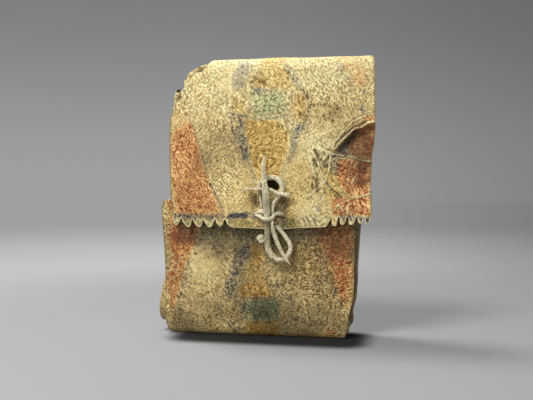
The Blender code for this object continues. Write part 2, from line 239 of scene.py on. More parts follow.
def own_place(tree):
    """Where each point of the piece lies."""
    return put("ShaderNodeTexCoord", {}, "Object", tree)


def marked(tree, name):
    """A number that mark wrote onto the piece."""
    return put("ShaderNodeAttribute", {}, "Fac", tree, attribute_name=name)


def new_group(name, inputs, outputs):
    """An empty shared effect. Its inputs and outputs are given by their names and first values."""
    tree = bpy.data.node_groups.new(name, "ShaderNodeTree")
    kinds = {float: "NodeSocketFloat", tuple: "NodeSocketColor"}
    for way, sockets in (("INPUT", inputs), ("OUTPUT", outputs)):
        for label, value in sockets.items():
            socket = tree.interface.new_socket(label, in_out=way, socket_type=kinds[type(value)])
            socket.default_value = value
    given = Value(tree.nodes.new("NodeGroupInput").outputs[0])
    return tree, given, tree.nodes.new("NodeGroupOutput").inputs


# Strands of fibre: how they are turned, in degrees, how long and how wide they are
STRANDS = ((56, 0.0056, 0.00082), (-40, 0.0050, 0.00080), (10, 0.0044, 0.00090))
STRAND_DRIFT = 0.0045
TALL_CELLS = (-16, (0.0036, 0.0060, 0.0088))
WIDE_CELLS = (-4, (0.0038, 0.0040, 0.0023))


def fibre_group():
    """Rawhide's surface: fine pale fibres that cross each other, pits, and the cells of a wrinkled skin."""
    names = ("Fibres", "Pits", "Mottle", "Tall Cells", "Wide Cells")
    tree, given, result = new_group("rawhide_fibres", {"Calm": 0.0}, dict.fromkeys(names, 0.0))
    place = own_place(tree)
    off = vectors("SUBTRACT", clouds(place, 90.0, 2.0)["Color"], (0.5, 0.5, 0.5))
    inputs = {0: off, 1: (STRAND_DRIFT, STRAND_DRIFT, STRAND_DRIFT), 2: place}
    bent = put("ShaderNodeVectorMath", inputs, operation="MULTIPLY_ADD")

    def laid(turn, sizes):
        """The hide's own coordinates, turned and measured in strands or cells of a given size."""
        inputs = {"Vector": bent, "Rotation": (0, math.radians(turn), 0), "Scale": sizes}
        return put("ShaderNodeMapping", inputs, vector_type="TEXTURE")

    strands = []
    for turn, long, wide in STRANDS:
        strands.append(clouds(laid(turn, (long, wide, wide)), 1.0, 2.0, 0.6).spread(0.40, 0.60))
    lead = clouds(place, 58.0, 1.0).spread(0.42, 0.56)
    crossed = between(0.34, between(lead, strands[0], strands[1]), strands[2])
    grain = clouds(place, 760.0, 2.0)
    fibres = ((grain - 0.5) * 1.9 + crossed.spread(0.32, 0.67)).clamped()
    mottle = clouds(place, 27.0, 5.0, 0.66)
    # Here and there the surface is scraped smooth
    calm = (given["Calm"] + mottle.spread(0.46, 0.68, 0.0, 0.45)).clamped()
    between(calm, fibres, 0.68).into(result["Fibres"])
    clouds(bent, 430.0, 2.0, 0.6).into(result["Pits"])
    mottle.into(result["Mottle"])
    for name, (turn, sizes) in (("Tall Cells", TALL_CELLS), ("Wide Cells", WIDE_CELLS)):
        inputs = {"Vector": laid(turn, sizes), "Scale": 1.0}
        put("ShaderNodeTexVoronoi", inputs, "Distance", feature="DISTANCE_TO_EDGE").into(result[name])
    return tree


def paint_group():
    """Earth paint, rubbed into the damp hide: it stains it, stays between the fibres and wears off on top."""
    white = (1, 1, 1, 1)
    inputs = dict.fromkeys(("Under", "Stain", "Paint", "Deep Paint"), white)
    inputs |= {"Patches": 170.0, "Cover": 0.0, "Fibres": 0.0, "Soil And Shade": 0.0}
    tree, given, result = new_group("rubbed_paint", inputs, {"Colour": white})
    amount = given["Cover"]
    hold = clouds(own_place(tree), given["Patches"], 3.0, 0.65).spread(0.32, 0.68)
    # It holds in patches, so its edges are ragged; on top of the fibres it is rubbed thin
    laid = (amount * 1.15 + hold * -0.90).spread(0.0, 0.09)
    wear = amount.spread(1.0, 1.8, 0.96, 0.20)
    thin = (1.0 - given["Fibres"] * wear).clamped()
    soaked = (amount * 1.6).clamped() * 0.5
    stained = blend(soaked, given["Under"], given["Stain"], "MULTIPLY")
    # Thin paint is light, thick paint is dark
    drop = amount.spread(0.9, 1.6, 0.0, 0.64) + hold.spread(0.0, 0.6, 0.35, 0.0)
    drop = drop + amount.spread(0.3, 0.8, -0.30, 0.30)
    tone = (given["Fibres"] * 1.3 - drop).clamped()
    colour = blend(tone, given["Deep Paint"], given["Paint"])
    # Soil and painted shade darken the paint as well
    colour = blend(given["Soil And Shade"] * 0.60, colour, tint(40, 30, 16))
    share = laid * thin * amount.spread(0.3, 0.8, 0.5, 1.0)
    blend(share, stained, colour).into(result["Colour"])
    return tree


FIBRES = fibre_group()
RUBBED_PAINT = paint_group()

# The hide's fibres and the recesses between them, clean, tanned by handling, and soiled and darkened by
# painted shade
PALE_HIDE = tint(255, 245, 186)
TAN_HIDE = tint(236, 211, 144)
SOILED_AND_SHADED_HIDE = tint(142, 126, 86)
RECESS = tint(192, 156, 86)
TAN_RECESS = tint(124, 90, 30)
SOILED_AND_SHADED_RECESS = tint(34, 26, 10)
GAP = tint(96, 68, 26)
PIT = tint(58, 40, 18)
CUT_EDGE = tint(244, 230, 180)
EDGE_AND_FURROW_SHADE = tint(120, 92, 48)
SOILED_AND_SHADED_CREASE = tint(190, 172, 120)
HOLLOW_SHADE = tint(16, 12, 5)

# Paint: how it stains the hide, its colour on the fibres and between them, and the scale of its patches
PAINTS = {
    "ochre": (tint(255, 226, 146), tint(248, 208, 74), tint(136, 88, 2), 200.0),
    "green": (tint(220, 236, 212), tint(158, 180, 144), tint(62, 90, 70), 240.0),
    "red": (tint(255, 196, 134), tint(246, 160, 76), tint(146, 48, 6), 230.0),
    "blue": (tint(190, 200, 226), tint(56, 64, 102), tint(18, 22, 52), 290.0),
}
BUMP_DEPTH = 0.0005


def new_material(name):
    material = bpy.data.materials.new(name)
    material.use_nodes = True
    return material, material.node_tree


def finish_material(material, colour, roughness, relief, strength, looks):
    """Joins a material's colour, roughness and relief to its shader, and sets its other looks."""
    shader = material.node_tree.nodes["Principled BSDF"]
    for key, value in looks.items():
        shader.inputs[key].default_value = value
    colour.into(shader.inputs["Base Color"])
    roughness.into(shader.inputs["Roughness"])
    bump = put("ShaderNodeBump", {"Height": relief, "Strength": strength, "Distance": BUMP_DEPTH})
    bump.into(shader.inputs["Normal"])
    return material


def hide_material(name, painted=False, cut=False, shade=0.0, soil_and_shade_share=1.0):
    """Rawhide, bare or painted. Where nothing marks it as soiled, darkened as painted shade or wrinkled, it
    is clean and even.
    """
    material, tree = new_material(name)
    net = marked(tree, "net")
    surface = put("ShaderNodeGroup", {"Calm": marked(tree, "calm")}, node_tree=FIBRES)
    mottle, fibres, pits = surface["Mottle"], surface["Fibres"], surface["Pits"]
    # The marked darkening is partly soil and partly painted shade, laid over a random mottle
    soil_and_shade = ((mottle - 0.5) * 1.3 + marked(tree, "soil_and_shade") * soil_and_shade_share).clamped()
    # Wrinkled places: pale ridges with dark cells between them, and pits that lie in rows
    ridges = surface["Tall Cells"].spread(0.04, 0.26, 1.0, 0.0)
    hollows = surface["Wide Cells"].spread(0.10, 0.34) * marked(tree, "pitted")
    level = (hollows * -0.85 + between(net, fibres, ridges)).clamped()
    tanned = soil_and_shade.spread(-0.1, 0.45)
    ground = blend(mottle.spread(0.38, 0.62), TAN_RECESS, RECESS)
    ground = blend(soil_and_shade, blend(tanned, ground, TAN_RECESS), SOILED_AND_SHADED_RECESS)
    ground = blend(net * 0.6, ground, GAP)
    fibre = blend(tanned, PALE_HIDE, TAN_HIDE)
    fibre = blend(soil_and_shade.spread(0.25, 0.9), fibre, SOILED_AND_SHADED_HIDE)
    colour = blend(level, ground, fibre)
    if painted:
        for paint, (stain, body, deep, patches) in PAINTS.items():
            inputs = {"Under": colour, "Stain": stain, "Paint": body, "Deep Paint": deep, "Patches": patches}
            inputs |= {"Cover": marked(tree, paint), "Fibres": level, "Soil And Shade": soil_and_shade}
            colour = put("ShaderNodeGroup", inputs, node_tree=RUBBED_PAINT)
    sunk = (pits - soil_and_shade.spread(0.0, 0.8, 0.665, 0.585)).spread(0.0, 0.05)
    colour = blend(sunk, colour, PIT)
    relief = sunk * -0.8 + level
    if painted:
        # Sharp creases: bands of pale raised fibres, broken and uneven, with painted shade in the furrow
        # beside them
        crease = (pits - 0.5) * 2.4 + ((fibres - 0.5) * -1.1 + marked(tree, "crease"))
        furrow = crease.spread(1.0, 1.5) * crease.spread(1.6, 2.8, 0.40, 0.0)
        colour = blend(furrow, colour, EDGE_AND_FURROW_SHADE, "MULTIPLY")
        line = crease.spread(0.4, 1.3, 0.80, 0.0)
        colour = blend(line, colour, blend(soil_and_shade, PALE_HIDE, SOILED_AND_SHADED_CREASE))
        relief = line * 0.8 + relief
        ragged = pits * 0.8
        # The side edges are darkened as painted shade, where the hide turns away from the light; the hem's
        # cut edge is pale
        side_edge = (marked(tree, "side_edge") + ragged).spread(0.9, 2.6, 0.75, 0.0)
        hem_edge = (marked(tree, "hem_edge") + ragged).spread(0.80, 1.25, 0.9, 0.0)
        colour = blend(hem_edge, blend(side_edge, colour, EDGE_AND_FURROW_SHADE), CUT_EDGE)
    if cut:
        colour = blend(0.6, colour, CUT_EDGE)
    # Painted shade, for faces that light hardly reaches
    if shade:
        colour = blend(shade, colour, SOILED_AND_SHADED_RECESS)
    if not painted:
        # Painted shade in the hollow of the worn corner
        colour = blend(marked(tree, "hollow_shade").spread(0.2, 0.9, 0.0, 0.95), colour, HOLLOW_SHADE)
    roughness = level.spread(0.0, 1.0, 0.7, 0.52)
    return finish_material(material, colour, roughness, relief, 0.7, {"Specular IOR Level": 0.35})


RAWHIDE = hide_material("rawhide_bare")
FLESH_SIDE = hide_material("rawhide_flesh_side", soil_and_shade_share=0.2)
CUT = hide_material("rawhide_cut_edge", cut=True)

FOLD_STEPS = 8
WALL_STEPS = 12
BACK_COLUMNS = 62
BACK_ROWS = 128
# Where the side walls bulge or draw in, as height and distance outwards in millimetres
WALL_BULGES = {
    -1: [
        (0, 0), (4, 1.5), (11, 6.5), (21, 11), (30, 12), (48, 10.6), (60, 8.4), (75, 5), (100, 0), (288, 0),
        (296, 1.2), (302, 3.8), (308, 5.6), (314, 4.6), (322, 3.6),
    ],
    1: [
        (0, -6), (10, -5), (13, -1), (15, 2), (20, 2.8), (25, 2.2), (28, 0.8), (33, 1.8), (45, 4.0),
        (60, 3.6), (88, 1.1), (136, 1.1), (170, 0),
    ],
}
CORNER_RADIUS = 0.013
WORN_RADIUS = 0.022
# The share of a corner that stays outside its arc, and how far the worn one sinks, tears back and rolls
CORNER_KEPT = 0.12
CORNER_SINK = 0.0034
CORNER_TEAR = 0.015
CORNER_ROLL = (0.0115, 0.0025)
CORNER_CRUMPLE = 0.0018
# Shares of a wall's depth by which the rims are drawn back at the worn corner and at the others
WORN_RIM = 0.10
PLAIN_RIM = 0.30
# The side walls' furrows, in radians a metre
FURROW_DEPTH = 0.0005
FURROW_PITCH = 900
# The creases of the end flaps start and end here
CREASE_ENDS = {1: (-0.0630, 0.1250), -1: (-0.1064, 0.0921)}


def crease_wave(x):
    """How the crease under the upper flap dips and rises along the case."""
    return 0.0005 * np.sin(x * 41 + 1.2) + 0.0003 * np.sin(x * 97)


def round_corners(x, y, z):
    """Draws the case's corners in. The top left one is worn down to a wide arc."""
    forward = ease((0.026 - y) / 0.018)
    for side in (-1, 1):
        for end in (-1, 1):
            worn = (side, end) == (-1, 1)
            radius = mix(CORNER_RADIUS, WORN_RADIUS, forward) if worn else CORNER_RADIUS + 0 * y
            face = case_middle(z) + side * CASE_WIDTH / 2
            roof = CASE_HEIGHT if end > 0 else 0.0
            a = radius - (face - x) * side
            b = radius - (roof - z) * end
            reach = np.hypot(a, b)
            outside = (a > 0) & (b > 0) & (reach > radius)
            keep = np.where(outside, (radius + CORNER_KEPT * (reach - radius)) / np.maximum(reach, 1e-9), 1)
            x = x + side * a * (keep - 1) * outside
            z = z + end * b * (keep - 1) * outside
    return x, z


def crumple_corner(x, y, z, wall):
    """Sinks the worn top left corner of the walls, and rolls and crumples its rim inwards."""
    z = z - CORNER_SINK * ease((-0.066 - x) / 0.010) * ease((z - 0.312) / 0.010) * ease((0.024 - y) / 0.010)
    torn_back = ease((x + 0.087) / 0.006) * ease((-0.065 - x) / 0.006) * ease((z - 0.308) / 0.006)
    y = y + CORNER_TEAR * torn_back * ease((wall - 0.3) / 0.7)
    to_x = case_middle(z) - CASE_WIDTH / 2 + WORN_RADIUS - x
    to_z = CASE_HEIGHT - WORN_RADIUS - z
    reach_in = np.maximum(np.hypot(to_x, to_z), 1e-9)
    rolled = ease((to_x + 0.004) / 0.008) * ease((0.006 - to_z) / 0.010) * ease((wall - 0.72) / 0.28)
    roll = mix(*CORNER_ROLL, ease((x + 0.088) / 0.009))
    rolled = rolled * (roll + CORNER_CRUMPLE * ripple(x, 0 * y, z, 0.006, 5))
    return np.stack([x + rolled * to_x / reach_in, y, z + rolled * to_z / reach_in], axis=-1)


def from_border(index, count):
    """Side, distance past the flat panel in fold lengths and walls, and share of the flat panel."""
    border = FOLD_STEPS + WALL_STEPS
    low = border - index
    high = index - border - count
    beyond = np.maximum(np.maximum(low, high), 0)
    side = np.where(low > 0, -1, np.where(high > 0, 1, 0))
    fold = np.minimum(beyond, FOLD_STEPS) / FOLD_STEPS
    wall = np.maximum(beyond - FOLD_STEPS, 0) / WALL_STEPS
    return side, fold + wall, np.clip((index - border) / count, 0, 1)


def lay_back(across, up):
    """The back with its folds and walls. A corner between two walls is drawn round as part of a ball."""
    # Seen from behind, the columns run the other way
    side, a, across_share = from_border(2 * (FOLD_STEPS + WALL_STEPS) + BACK_COLUMNS - across, BACK_COLUMNS)
    end, b, up_share = from_border(up, BACK_ROWS)
    reach = np.maximum(a, b)
    low = np.minimum(a, b)
    turn = np.where(reach > 0, np.where(b <= a, 0.5 * low / np.maximum(reach, 1e-9), 1), 0)
    turn = np.where(b > a, 1 - 0.5 * low / np.maximum(reach, 1e-9), turn) * HALF_TURN
    fold = np.minimum(reach, 1)
    wall = np.maximum(reach - 1, 0)
    half = CASE_WIDTH / 2 - BACK_FOLD
    angle = fold * HALF_TURN
    out = BACK_FOLD * np.sin(angle)
    x = mix(-half, half, across_share) + side * out * np.cos(turn)
    z = BACK_FOLD + (CASE_HEIGHT - 2 * BACK_FOLD) * up_share + end * out * np.sin(turn)
    x = x + case_middle(z)
    upright = ease(turn / HALF_TURN)
    hinge = mix(SIDE_HINGE_Y, np.where(end < 0, BOTTOM_HINGE_Y, TOP_HINGE_Y), upright)
    # The corners' rims are drawn back, least at the worn one
    drawn = np.where((side < 0) & (end > 0), WORN_RIM, PLAIN_RIM) * np.sin(2 * turn)
    y = CASE_DEPTH / 2 - BACK_FOLD * (1 - np.cos(angle))
    y = y + wall * (hinge - CASE_DEPTH / 2 + BACK_FOLD) * (1 - drawn)
    # The end walls spread to where their flaps are as wide as the crease
    crease_start, crease_end = [np.where(end > 0, CREASE_ENDS[1][i], CREASE_ENDS[-1][i]) for i in (0, 1)]
    end_middle = case_middle(np.where(end > 0, CASE_HEIGHT, 0.0))
    crease_x = mix(crease_start, crease_end, across_share)
    plain_x = end_middle + mix(-half, half, across_share)
    x = x + (crease_x - plain_x) * wall * upright**2 * (end != 0)
    # Uneven drying
    swell = 0.0014 * ripple(x, y, z, 0.055, 3) + 0.0005 * ripple(x, y, z, 0.017, 7)
    furrows = np.sin(y * FURROW_PITCH + 2.5 * ripple(x * 0, y * 0, z, 0.05, 11))
    furrows = FURROW_DEPTH * furrows * wall * (b <= a)
    inner = ease(1 - wall)
    y = y + swell * np.cos(angle) * inner
    push = swell * inner + furrows * np.minimum(1, 3 * (1 - wall))
    x = x + push * side * np.cos(turn) * np.sin(angle)
    z = z + swell * inner * end * np.sin(turn) * np.sin(angle) * (end > 0)
    z = z + crease_wave(x) * wall * (end > 0) * np.sin(turn) ** 2
    for face, bulges in WALL_BULGES.items():
        heights, outwards = np.array(bulges, float).T * MM
        share = np.where(wall > 0.75, ease((1 - wall) / 0.25), mix(0.45, 1, ease((fold + wall) / 1.75)))
        x = x + face * np.interp(z, heights, outwards) * share * np.sin(angle) * (side == face)
    x, z = round_corners(x, y, z)
    return crumple_corner(x, y, z, wall)


back_panel, back_points = lay_sheet(
    "hide_back_and_walls",
    2 * (FOLD_STEPS + WALL_STEPS) + BACK_COLUMNS,
    2 * (FOLD_STEPS + WALL_STEPS) + BACK_ROWS,
    lay_back,
)
back_x, back_y, back_z = back_points.T
# The walls are darker towards the front and the foot, and the right wall lower down: partly soil, partly
# painted shade
back_soil_and_shade = 0.12 + 0.5 * ease((0.016 - back_y) / 0.03) + 0.25 * ease(1 - back_z / 0.05)
mark(back_panel, "soil_and_shade", back_soil_and_shade + 0.3 * ease((back_x - 0.085) / 0.01) * ease((0.24 - back_z) / 0.08))
# Painted shade: light hardly reaches into the worn corner, so it is darkened there
HOLLOW_MIDDLE = (-0.0790, 0.3124)
HOLLOW_REACH = 0.0052
to_hollow = np.hypot(back_x - HOLLOW_MIDDLE[0], back_z - HOLLOW_MIDDLE[1])
mark(back_panel, "hollow_shade", 1.6 * np.exp(-((to_hollow / HOLLOW_REACH) ** 2)) * (back_y < 0.024))
thicken(back_panel, RAWHIDE)
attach(back_panel, "body")
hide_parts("back_panel")


# The side flaps, turned in over the contents under the end flaps. Their ends are cut on a slant, and they
# stay bare, because nobody sees them while the case is shut.
SIDE_FOLD = 0.010
SIDE_FLAP_REACH = 0.094
SIDE_FLAP_END = 0.022
SIDE_FLAP_SLANT = 0.100
CREASE_LIP = 0.0009
SIDE_FOLD_STEPS = 8
SIDE_COLUMNS = 42
SIDE_ROWS = 120


def unevenness(x, z, *swells):
    """How a panel swelled as it dried: a sum of ripples, each given as height, size and seed."""
    return sum(height * ripple(x, 0 * x, z, size, seed) for height, size, seed in swells)


def fold_over(station, steps, radius):
    """A fold's stations from its crease on: the sine of their turn, and how far in they have come."""
    angles = np.linspace(0, HALF_TURN, steps + 1)
    bend = np.clip(station - 1, 0, steps)
    return np.sin(angles)[bend], radius * (1 - np.cos(angles)[bend])


def stand_off(hinge_y, radius, station, sine, back):
    """How far forward a fold and its panel lie. The fold starts with a short straight lip."""
    lip = np.where(station > 0, CREASE_LIP, 0)
    return hinge_y - lip - (radius - CREASE_LIP - back) * sine


for side, side_name in ((-1, "left"), (1, "right")):
    turned = SIDE_FOLD_STEPS + 1

    def lay_side(across, up):
        station = across if side < 0 else turned + SIDE_COLUMNS - across
        sine, inwards = fold_over(station, SIDE_FOLD_STEPS, SIDE_FOLD)
        panel = np.clip(station - turned, 0, None) / SIDE_COLUMNS
        inwards = inwards + (SIDE_FLAP_REACH - SIDE_FOLD) * panel
        slope = SIDE_FLAP_SLANT * inwards / SIDE_FLAP_REACH
        z = mix(SIDE_FLAP_END + slope, CASE_HEIGHT - SIDE_FLAP_END - slope, up / SIDE_ROWS)
        x = case_middle(z) + side * (CASE_WIDTH / 2 - inwards)
        back = recess(x, z) + unevenness(x, z, (0.0009, 0.045, 17), (0.0003, 0.012, 19))
        return np.stack([x, stand_off(SIDE_HINGE_Y, SIDE_FOLD, station, sine, back), z], axis=-1)

    flap, side_points = lay_sheet(f"hide_{side_name}_side_flap", turned + SIDE_COLUMNS, SIDE_ROWS, lay_side)
    # The side flaps are darker towards the bottom, and the left one a little lighter
    mark(flap, "soil_and_shade", mix(1.0, 0.4, ease(side_points[:, 2] / 0.28)) + (0.0 if side > 0 else -0.25))
    thicken(flap, RAWHIDE)
    crease_x = case_middle(CASE_HEIGHT / 2) + side * CASE_WIDTH / 2
    crease_x - side * SIDE_FOLD
    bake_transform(flap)
    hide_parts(f"{side_name}_side_flap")


# The lower flap, folded up over the side flaps and painted: a red wedge down each side, and blocks of
# ochre, green and blue down the middle. It is the part that was handled and soiled most, and along its top
# it is darkened further as painted shade under the upper flap's edge.
LOWER_FOLD = 0.010
LOWER_FLAP_RISE = 0.1605
LOWER_FOLD_STEPS = 10
LOWER_ROWS = 150
LOWER_COLUMNS = 200
# Its sides, its paint and its marks are listed across and in height, in millimetres
LOWER_LEFT = [
    (-106.4, 0), (-110.6, 0.6), (-116.1, 2.2), (-120.7, 5.5), (-122.6, 11), (-123.5, 20), (-123.6, 50),
    (-123.9, 75), (-125, 97), (-127.3, 121.5), (-128.4, 136), (-128.8, 150), (-127.6, 157), (-124.5, 160.5),
]
LOWER_RIGHT = [
    (92.1, 0), (94.2, 4), (96, 12), (97.6, 22), (99.6, 34), (102.4, 46), (103.4, 56), (103.8, 78),
    (104.6, 108), (105.2, 138), (106.2, 160.5),
]


def along(line, z):
    """Reads a side's outline, listed as across and height in millimetres."""
    places = np.array(line, float) * MM
    return np.interp(z, places[:, 1], places[:, 0])


def away(x, z, line):
    """Distance of each point from a drawn line, in millimetres."""
    px, pz = x / MM, z / MM
    nearest = np.full(px.shape, 1e9)
    for (ax, az), (bx, bz) in zip(line, line[1:]):
        dx, dz = bx - ax, bz - az
        share = np.clip(((px - ax) * dx + (pz - az) * dz) / max(dx * dx + dz * dz, 1e-9), 0, 1)
        nearest = np.minimum(nearest, np.hypot(px - ax - share * dx, pz - az - share * dz))
    return nearest


def within(x, z, outline):
    """How deep each point lies inside a closed outline, in millimetres, and below 0 outside it."""
    px, pz = x / MM, z / MM
    closed = [*outline, outline[0]]
    odd = np.zeros(px.shape, bool)
    for (ax, az), (bx, bz) in zip(closed, closed[1:]):
        if az != bz:
            odd ^= ((az > pz) != (bz > pz)) & (px < (bx - ax) * (pz - az) / (bz - az) + ax)
    depth = away(x, z, closed)
    return np.where(odd, depth, -depth)


def ridge(x, z, line, width=0.9):
    """A soft ridge along a drawn line, 1 at its crest."""
    return np.exp(-((away(x, z, line) / width) ** 2))


def cover(x, z, areas, strokes=()):
    """How thickly a colour is laid, 0 to 1: areas are filled outlines, strokes are brush lines."""
    laid = np.zeros(x.shape)
    for strength, soft, outline in areas:
        laid = np.maximum(laid, strength * np.clip(0.5 + within(x, z, outline) / (3.4 * soft), 0, 1))
    for strength, half_width, line in strokes:
        laid = np.maximum(laid, strength * np.clip(0.5 + (half_width - away(x, z, line)) / 2.2, 0, 1))
    return laid


def spots(x, z, places):
    """A sum of soft round spots, each listed as across, height, radius in millimetres and amount."""
    total = np.zeros(x.shape)
    for sx, sz, radius, amount in places:
        total = total + amount * np.exp(-((x / MM - sx) ** 2 + (z / MM - sz) ** 2) / (2 * radius**2))
    return total


# Paint: how thick it is, how soft its edge, and its outline; strokes have half their width instead
LOWER_OCHRE = [
    (0.75, 1.5, [(-18.5, 106), (-10.7, 110), (-3.5, 102), (-1, 88), (-8, 81), (-19, 82)]),
    (0.42, 2.5, [(-23, 80), (-3.5, 83), (3.6, 71), (1.2, 62), (-20.5, 63.6)]),
    (0.92, 1.2, [(-26.6, 61), (-18, 64.3), (-3.6, 63), (6, 57), (6, 47), (-8.6, 45.6), (-23, 45.7),
        (-30, 51.5)]),
    (0.8, 1.2, [(-23.6, 15.8), (-4.2, 16), (15, 17), (15.5, -2), (-4.5, -2), (-22.7, -2)]),
    (0.3, 5.0, [(20, 112), (62, 108), (60, 72), (24, 76)]),
    (1.3, 1.5, [(-27, 57), (3, 57), (4, 47), (-29, 46)]),
]
LOWER_GREEN = [
    (0.82, 1.5, [(-24, 42), (-4, 42.7), (12, 44), (17.7, 38.7), (17, 22), (8, 18), (-9, 17.5), (-23.5, 17.6),
        (-27, 29)]),
    (0.5, 2.0, [(11.7, 32.6), (18.2, 32.2), (17.6, 25.6)]),
]
LOWER_RED = [
    (0.85, 2.0, [(-121, 162), (-79, 162), (-82, 122), (-88, 105), (-94, 93), (-99, 78), (-104, 62),
        (-108, 49), (-113, 32), (-117, 29), (-118, 43), (-121, 54), (-121, 70), (-117, 77), (-116, 99),
        (-116, 121)]),
    (1.45, 2.0, [(-119, 124), (-108, 126), (-102, 114), (-108, 100), (-117, 102)]),
    (0.72, 4.5, [(60, 162), (102.5, 162), (103, 103), (101.5, 68), (99, 50), (94.7, 41), (88, 43), (84, 57),
        (78.6, 74), (73, 89), (66, 105), (61, 119)]),
    (0.72, 3.5, [(84, 89), (99, 87), (100, 64), (98.8, 45), (88, 44), (84, 59), (81, 75)]),
    (0.6, 2.0, [(68.6, 9.6), (81, 12), (83, 4.3), (71.5, 1.7)]),
    (1.3, 2.0, [(-111, 122), (-99, 123), (-97, 112), (-101, 104), (-110, 106)]),
]
LOWER_BLUE = [
    (1.05, 1.5, [(-19, 110), (-18.5, 93), (-22.8, 87), (-29, 84), (-38, 88), (-37, 95), (-29, 104)]),
    (0.62, 2.0, [(-22.8, 87), (-26.5, 78), (-32.6, 68), (-33, 54), (-37.7, 43), (-47.5, 45), (-49.8, 54.5),
        (-45, 65), (-42, 77), (-41, 87)]),
    (0.72, 1.0, [(-30.5, 38), (-23, 38.6), (-23, 28), (-29.4, 29)]),
    (0.78, 1.2, [(20, 53), (28.5, 51), (39, 40.5), (32, 41.5), (22.5, 46)]),
    (0.72, 1.5, [(78.6, 60.6), (85.5, 60), (85.5, 48.7), (81, 49.7)]),
    (0.84, 1.2, [(87.4, 46), (91.7, 45), (90.6, 36), (87.8, 37)]),
    (0.43, 2.5, [(70, 81), (77.5, 77.5), (77.5, 69), (73, 70.5)]),
    (0.48, 1.5, [(17.4, 17.3), (22.8, 16.3), (21.4, 5.4), (16.8, 6.5)]),
]
LOWER_BLUE_STROKES = [
    (1.15, 1.1, [(-93.5, 86.7), (-96.6, 78.2)]),
    (1.25, 1.5, [(-99, 70), (-99.7, 66), (-101, 54)]),
    (1.15, 1.2, [(-103, 49), (-105, 44), (-107.9, 36.8)]),
    (0.9, 0.9, [(-25.5, 44.7), (-11, 44.4), (7, 45.5)]),
    (0.66, 1.2, [(-47.4, 14.9), (-37.2, 6.1), (-25, 7.2)]),
    (0.6, 1.2, [(-45.6, 13.7), (-35.7, 17.7), (-27, 19.2)]),
    (0.72, 1.2, [(15, 65.7), (17.9, 57.6)]),
    (0.54, 1.3, [(23.4, 15), (31.7, 20), (40, 23.4)]),
]
# Creases: half their width in millimetres, and their line
LOWER_CREASES = [
    (0.5, [(2, 78), (5, 60), (8, 48.6), (11.8, 42)]),
    (0.65, [(-126, 73), (-114, 76.5), (-100, 76)]),
    (0.6, [(-116, 80), (-108, 86), (-101, 92)]),
    (0.6, [(-123, 60), (-113, 66), (-105, 71)]),
    (0.55, [(-122, 50), (-112, 58)]),
    (0.55, [(-121, 90), (-112, 95)]),
]
LOWER_PITTED = [
    (0.95, 9.0, [(36, 108), (60, 112), (100, 116), (103, 50), (70, 44), (40, 46), (26, 70)]),
    (0.6, 8.0, [(-50, 34), (10, 36), (60, 30), (90, 24), (84, 6), (-50, 6), (-110, 10), (-112, 40)]),
    (0.55, 8.0, [(-118, 156), (-40, 156), (-36, 128), (-60, 118), (-90, 126), (-104, 110), (-118, 112)]),
    (0.7, 3.0, [(-112, 130), (-96, 130), (-94, 98), (-110, 96)]),
    (0.6, 3.0, [(-48, 90), (-34, 96), (-20, 78), (-30, 46), (-50, 42)]),
]
LOWER_CALM = [
    (-72, 84, 16, 0.28), (-84, 100, 9, 0.25), (6, 26, 12, 0.2), (-80, 22, 14, 0.3), (10, 84, 9, 0.4),
]
LOWER_CRACKS = [
    [(41.5, 57), (55.5, 55.7), (70.6, 57.7), (84.4, 56.8)], [(36.8, 64), (51, 62.6), (67, 65)],
    [(85.5, 65), (93.5, 64), (99, 65)], [(85.5, 57), (93.5, 55.3), (99, 56.6)],
    [(84.4, 73), (92.4, 71.5), (100, 72.8)],
]
CRACK_DEPTH = 0.0005
# Darker places, partly soil and partly painted shade, which darkens the row along the top under the upper
# flap's edge; below 0 the lighter ones
LOWER_SOIL_AND_SHADE = [
    (-60, 147, 24, 0.85), (-5, 150, 24, 0.95), (60, 148, 24, 0.85), (100, 140, 22, 0.5), (-96, 132, 12, 0.5),
    (-76, 76, 20, -0.24), (-80, 92, 10, -0.06), (-106, 6, 12, 0.25), (-60, 10, 30, 0.08), (10, 14, 34, 0.2),
    (80, 12, 30, 0.12), (45, 78, 30, 0.04), (-15, 104, 14, 0.35), (88, 100, 16, 0.2), (-90, 118, 8, 0.75),
    (-108, 24, 6, 0.25), (30, 112, 20, 0.22), (-40, 34, 12, 0.1), (-10, 52, 14, 0.1), (-2, 30, 14, 0.3),
    (-56.3, 97.5, 1.3, 1.6), (-84.6, 95.9, 0.9, 1.2), (-66, 122, 14, 0.15), (-112, 112, 8, 0.25),
    (-108, 70, 14, 0.12), (-60, 100, 10, 0.15), (-2, 33, 12, 0.22),
]
LOWER_RELIEF = [
    (-75, 88, 24, -1.4), (-48, 118, 16, 0.8), (20, 96, 26, 0.7), (-56.2, 97.5, 1.4, 0.9), (60, 60, 26, -0.6),
]


def lay_lower(across, up):
    turned = LOWER_FOLD_STEPS + 1
    sine, rise = fold_over(up, LOWER_FOLD_STEPS, LOWER_FOLD)
    panel = np.clip(up - turned, 0, None) / LOWER_ROWS
    z = np.where(up > turned, mix(LOWER_FOLD, LOWER_FLAP_RISE, panel), rise)
    x = mix(along(LOWER_LEFT, z), along(LOWER_RIGHT, z), across / LOWER_COLUMNS)
    swell = unevenness(x, z, (0.0010, 0.050, 23), (0.0006, 0.015, 29), (0.0002, 0.007, 33))
    swell = (swell + MM * spots(x, z, LOWER_RELIEF)) * ease(z / 0.02)
    cracks = np.max([ridge(x, z, line) for line in LOWER_CRACKS], axis=0)
    back = recess(x, z) + swell + CRACK_DEPTH * cracks
    return np.stack([x, stand_off(BOTTOM_HINGE_Y, LOWER_FOLD, up, sine, back), z], axis=-1)


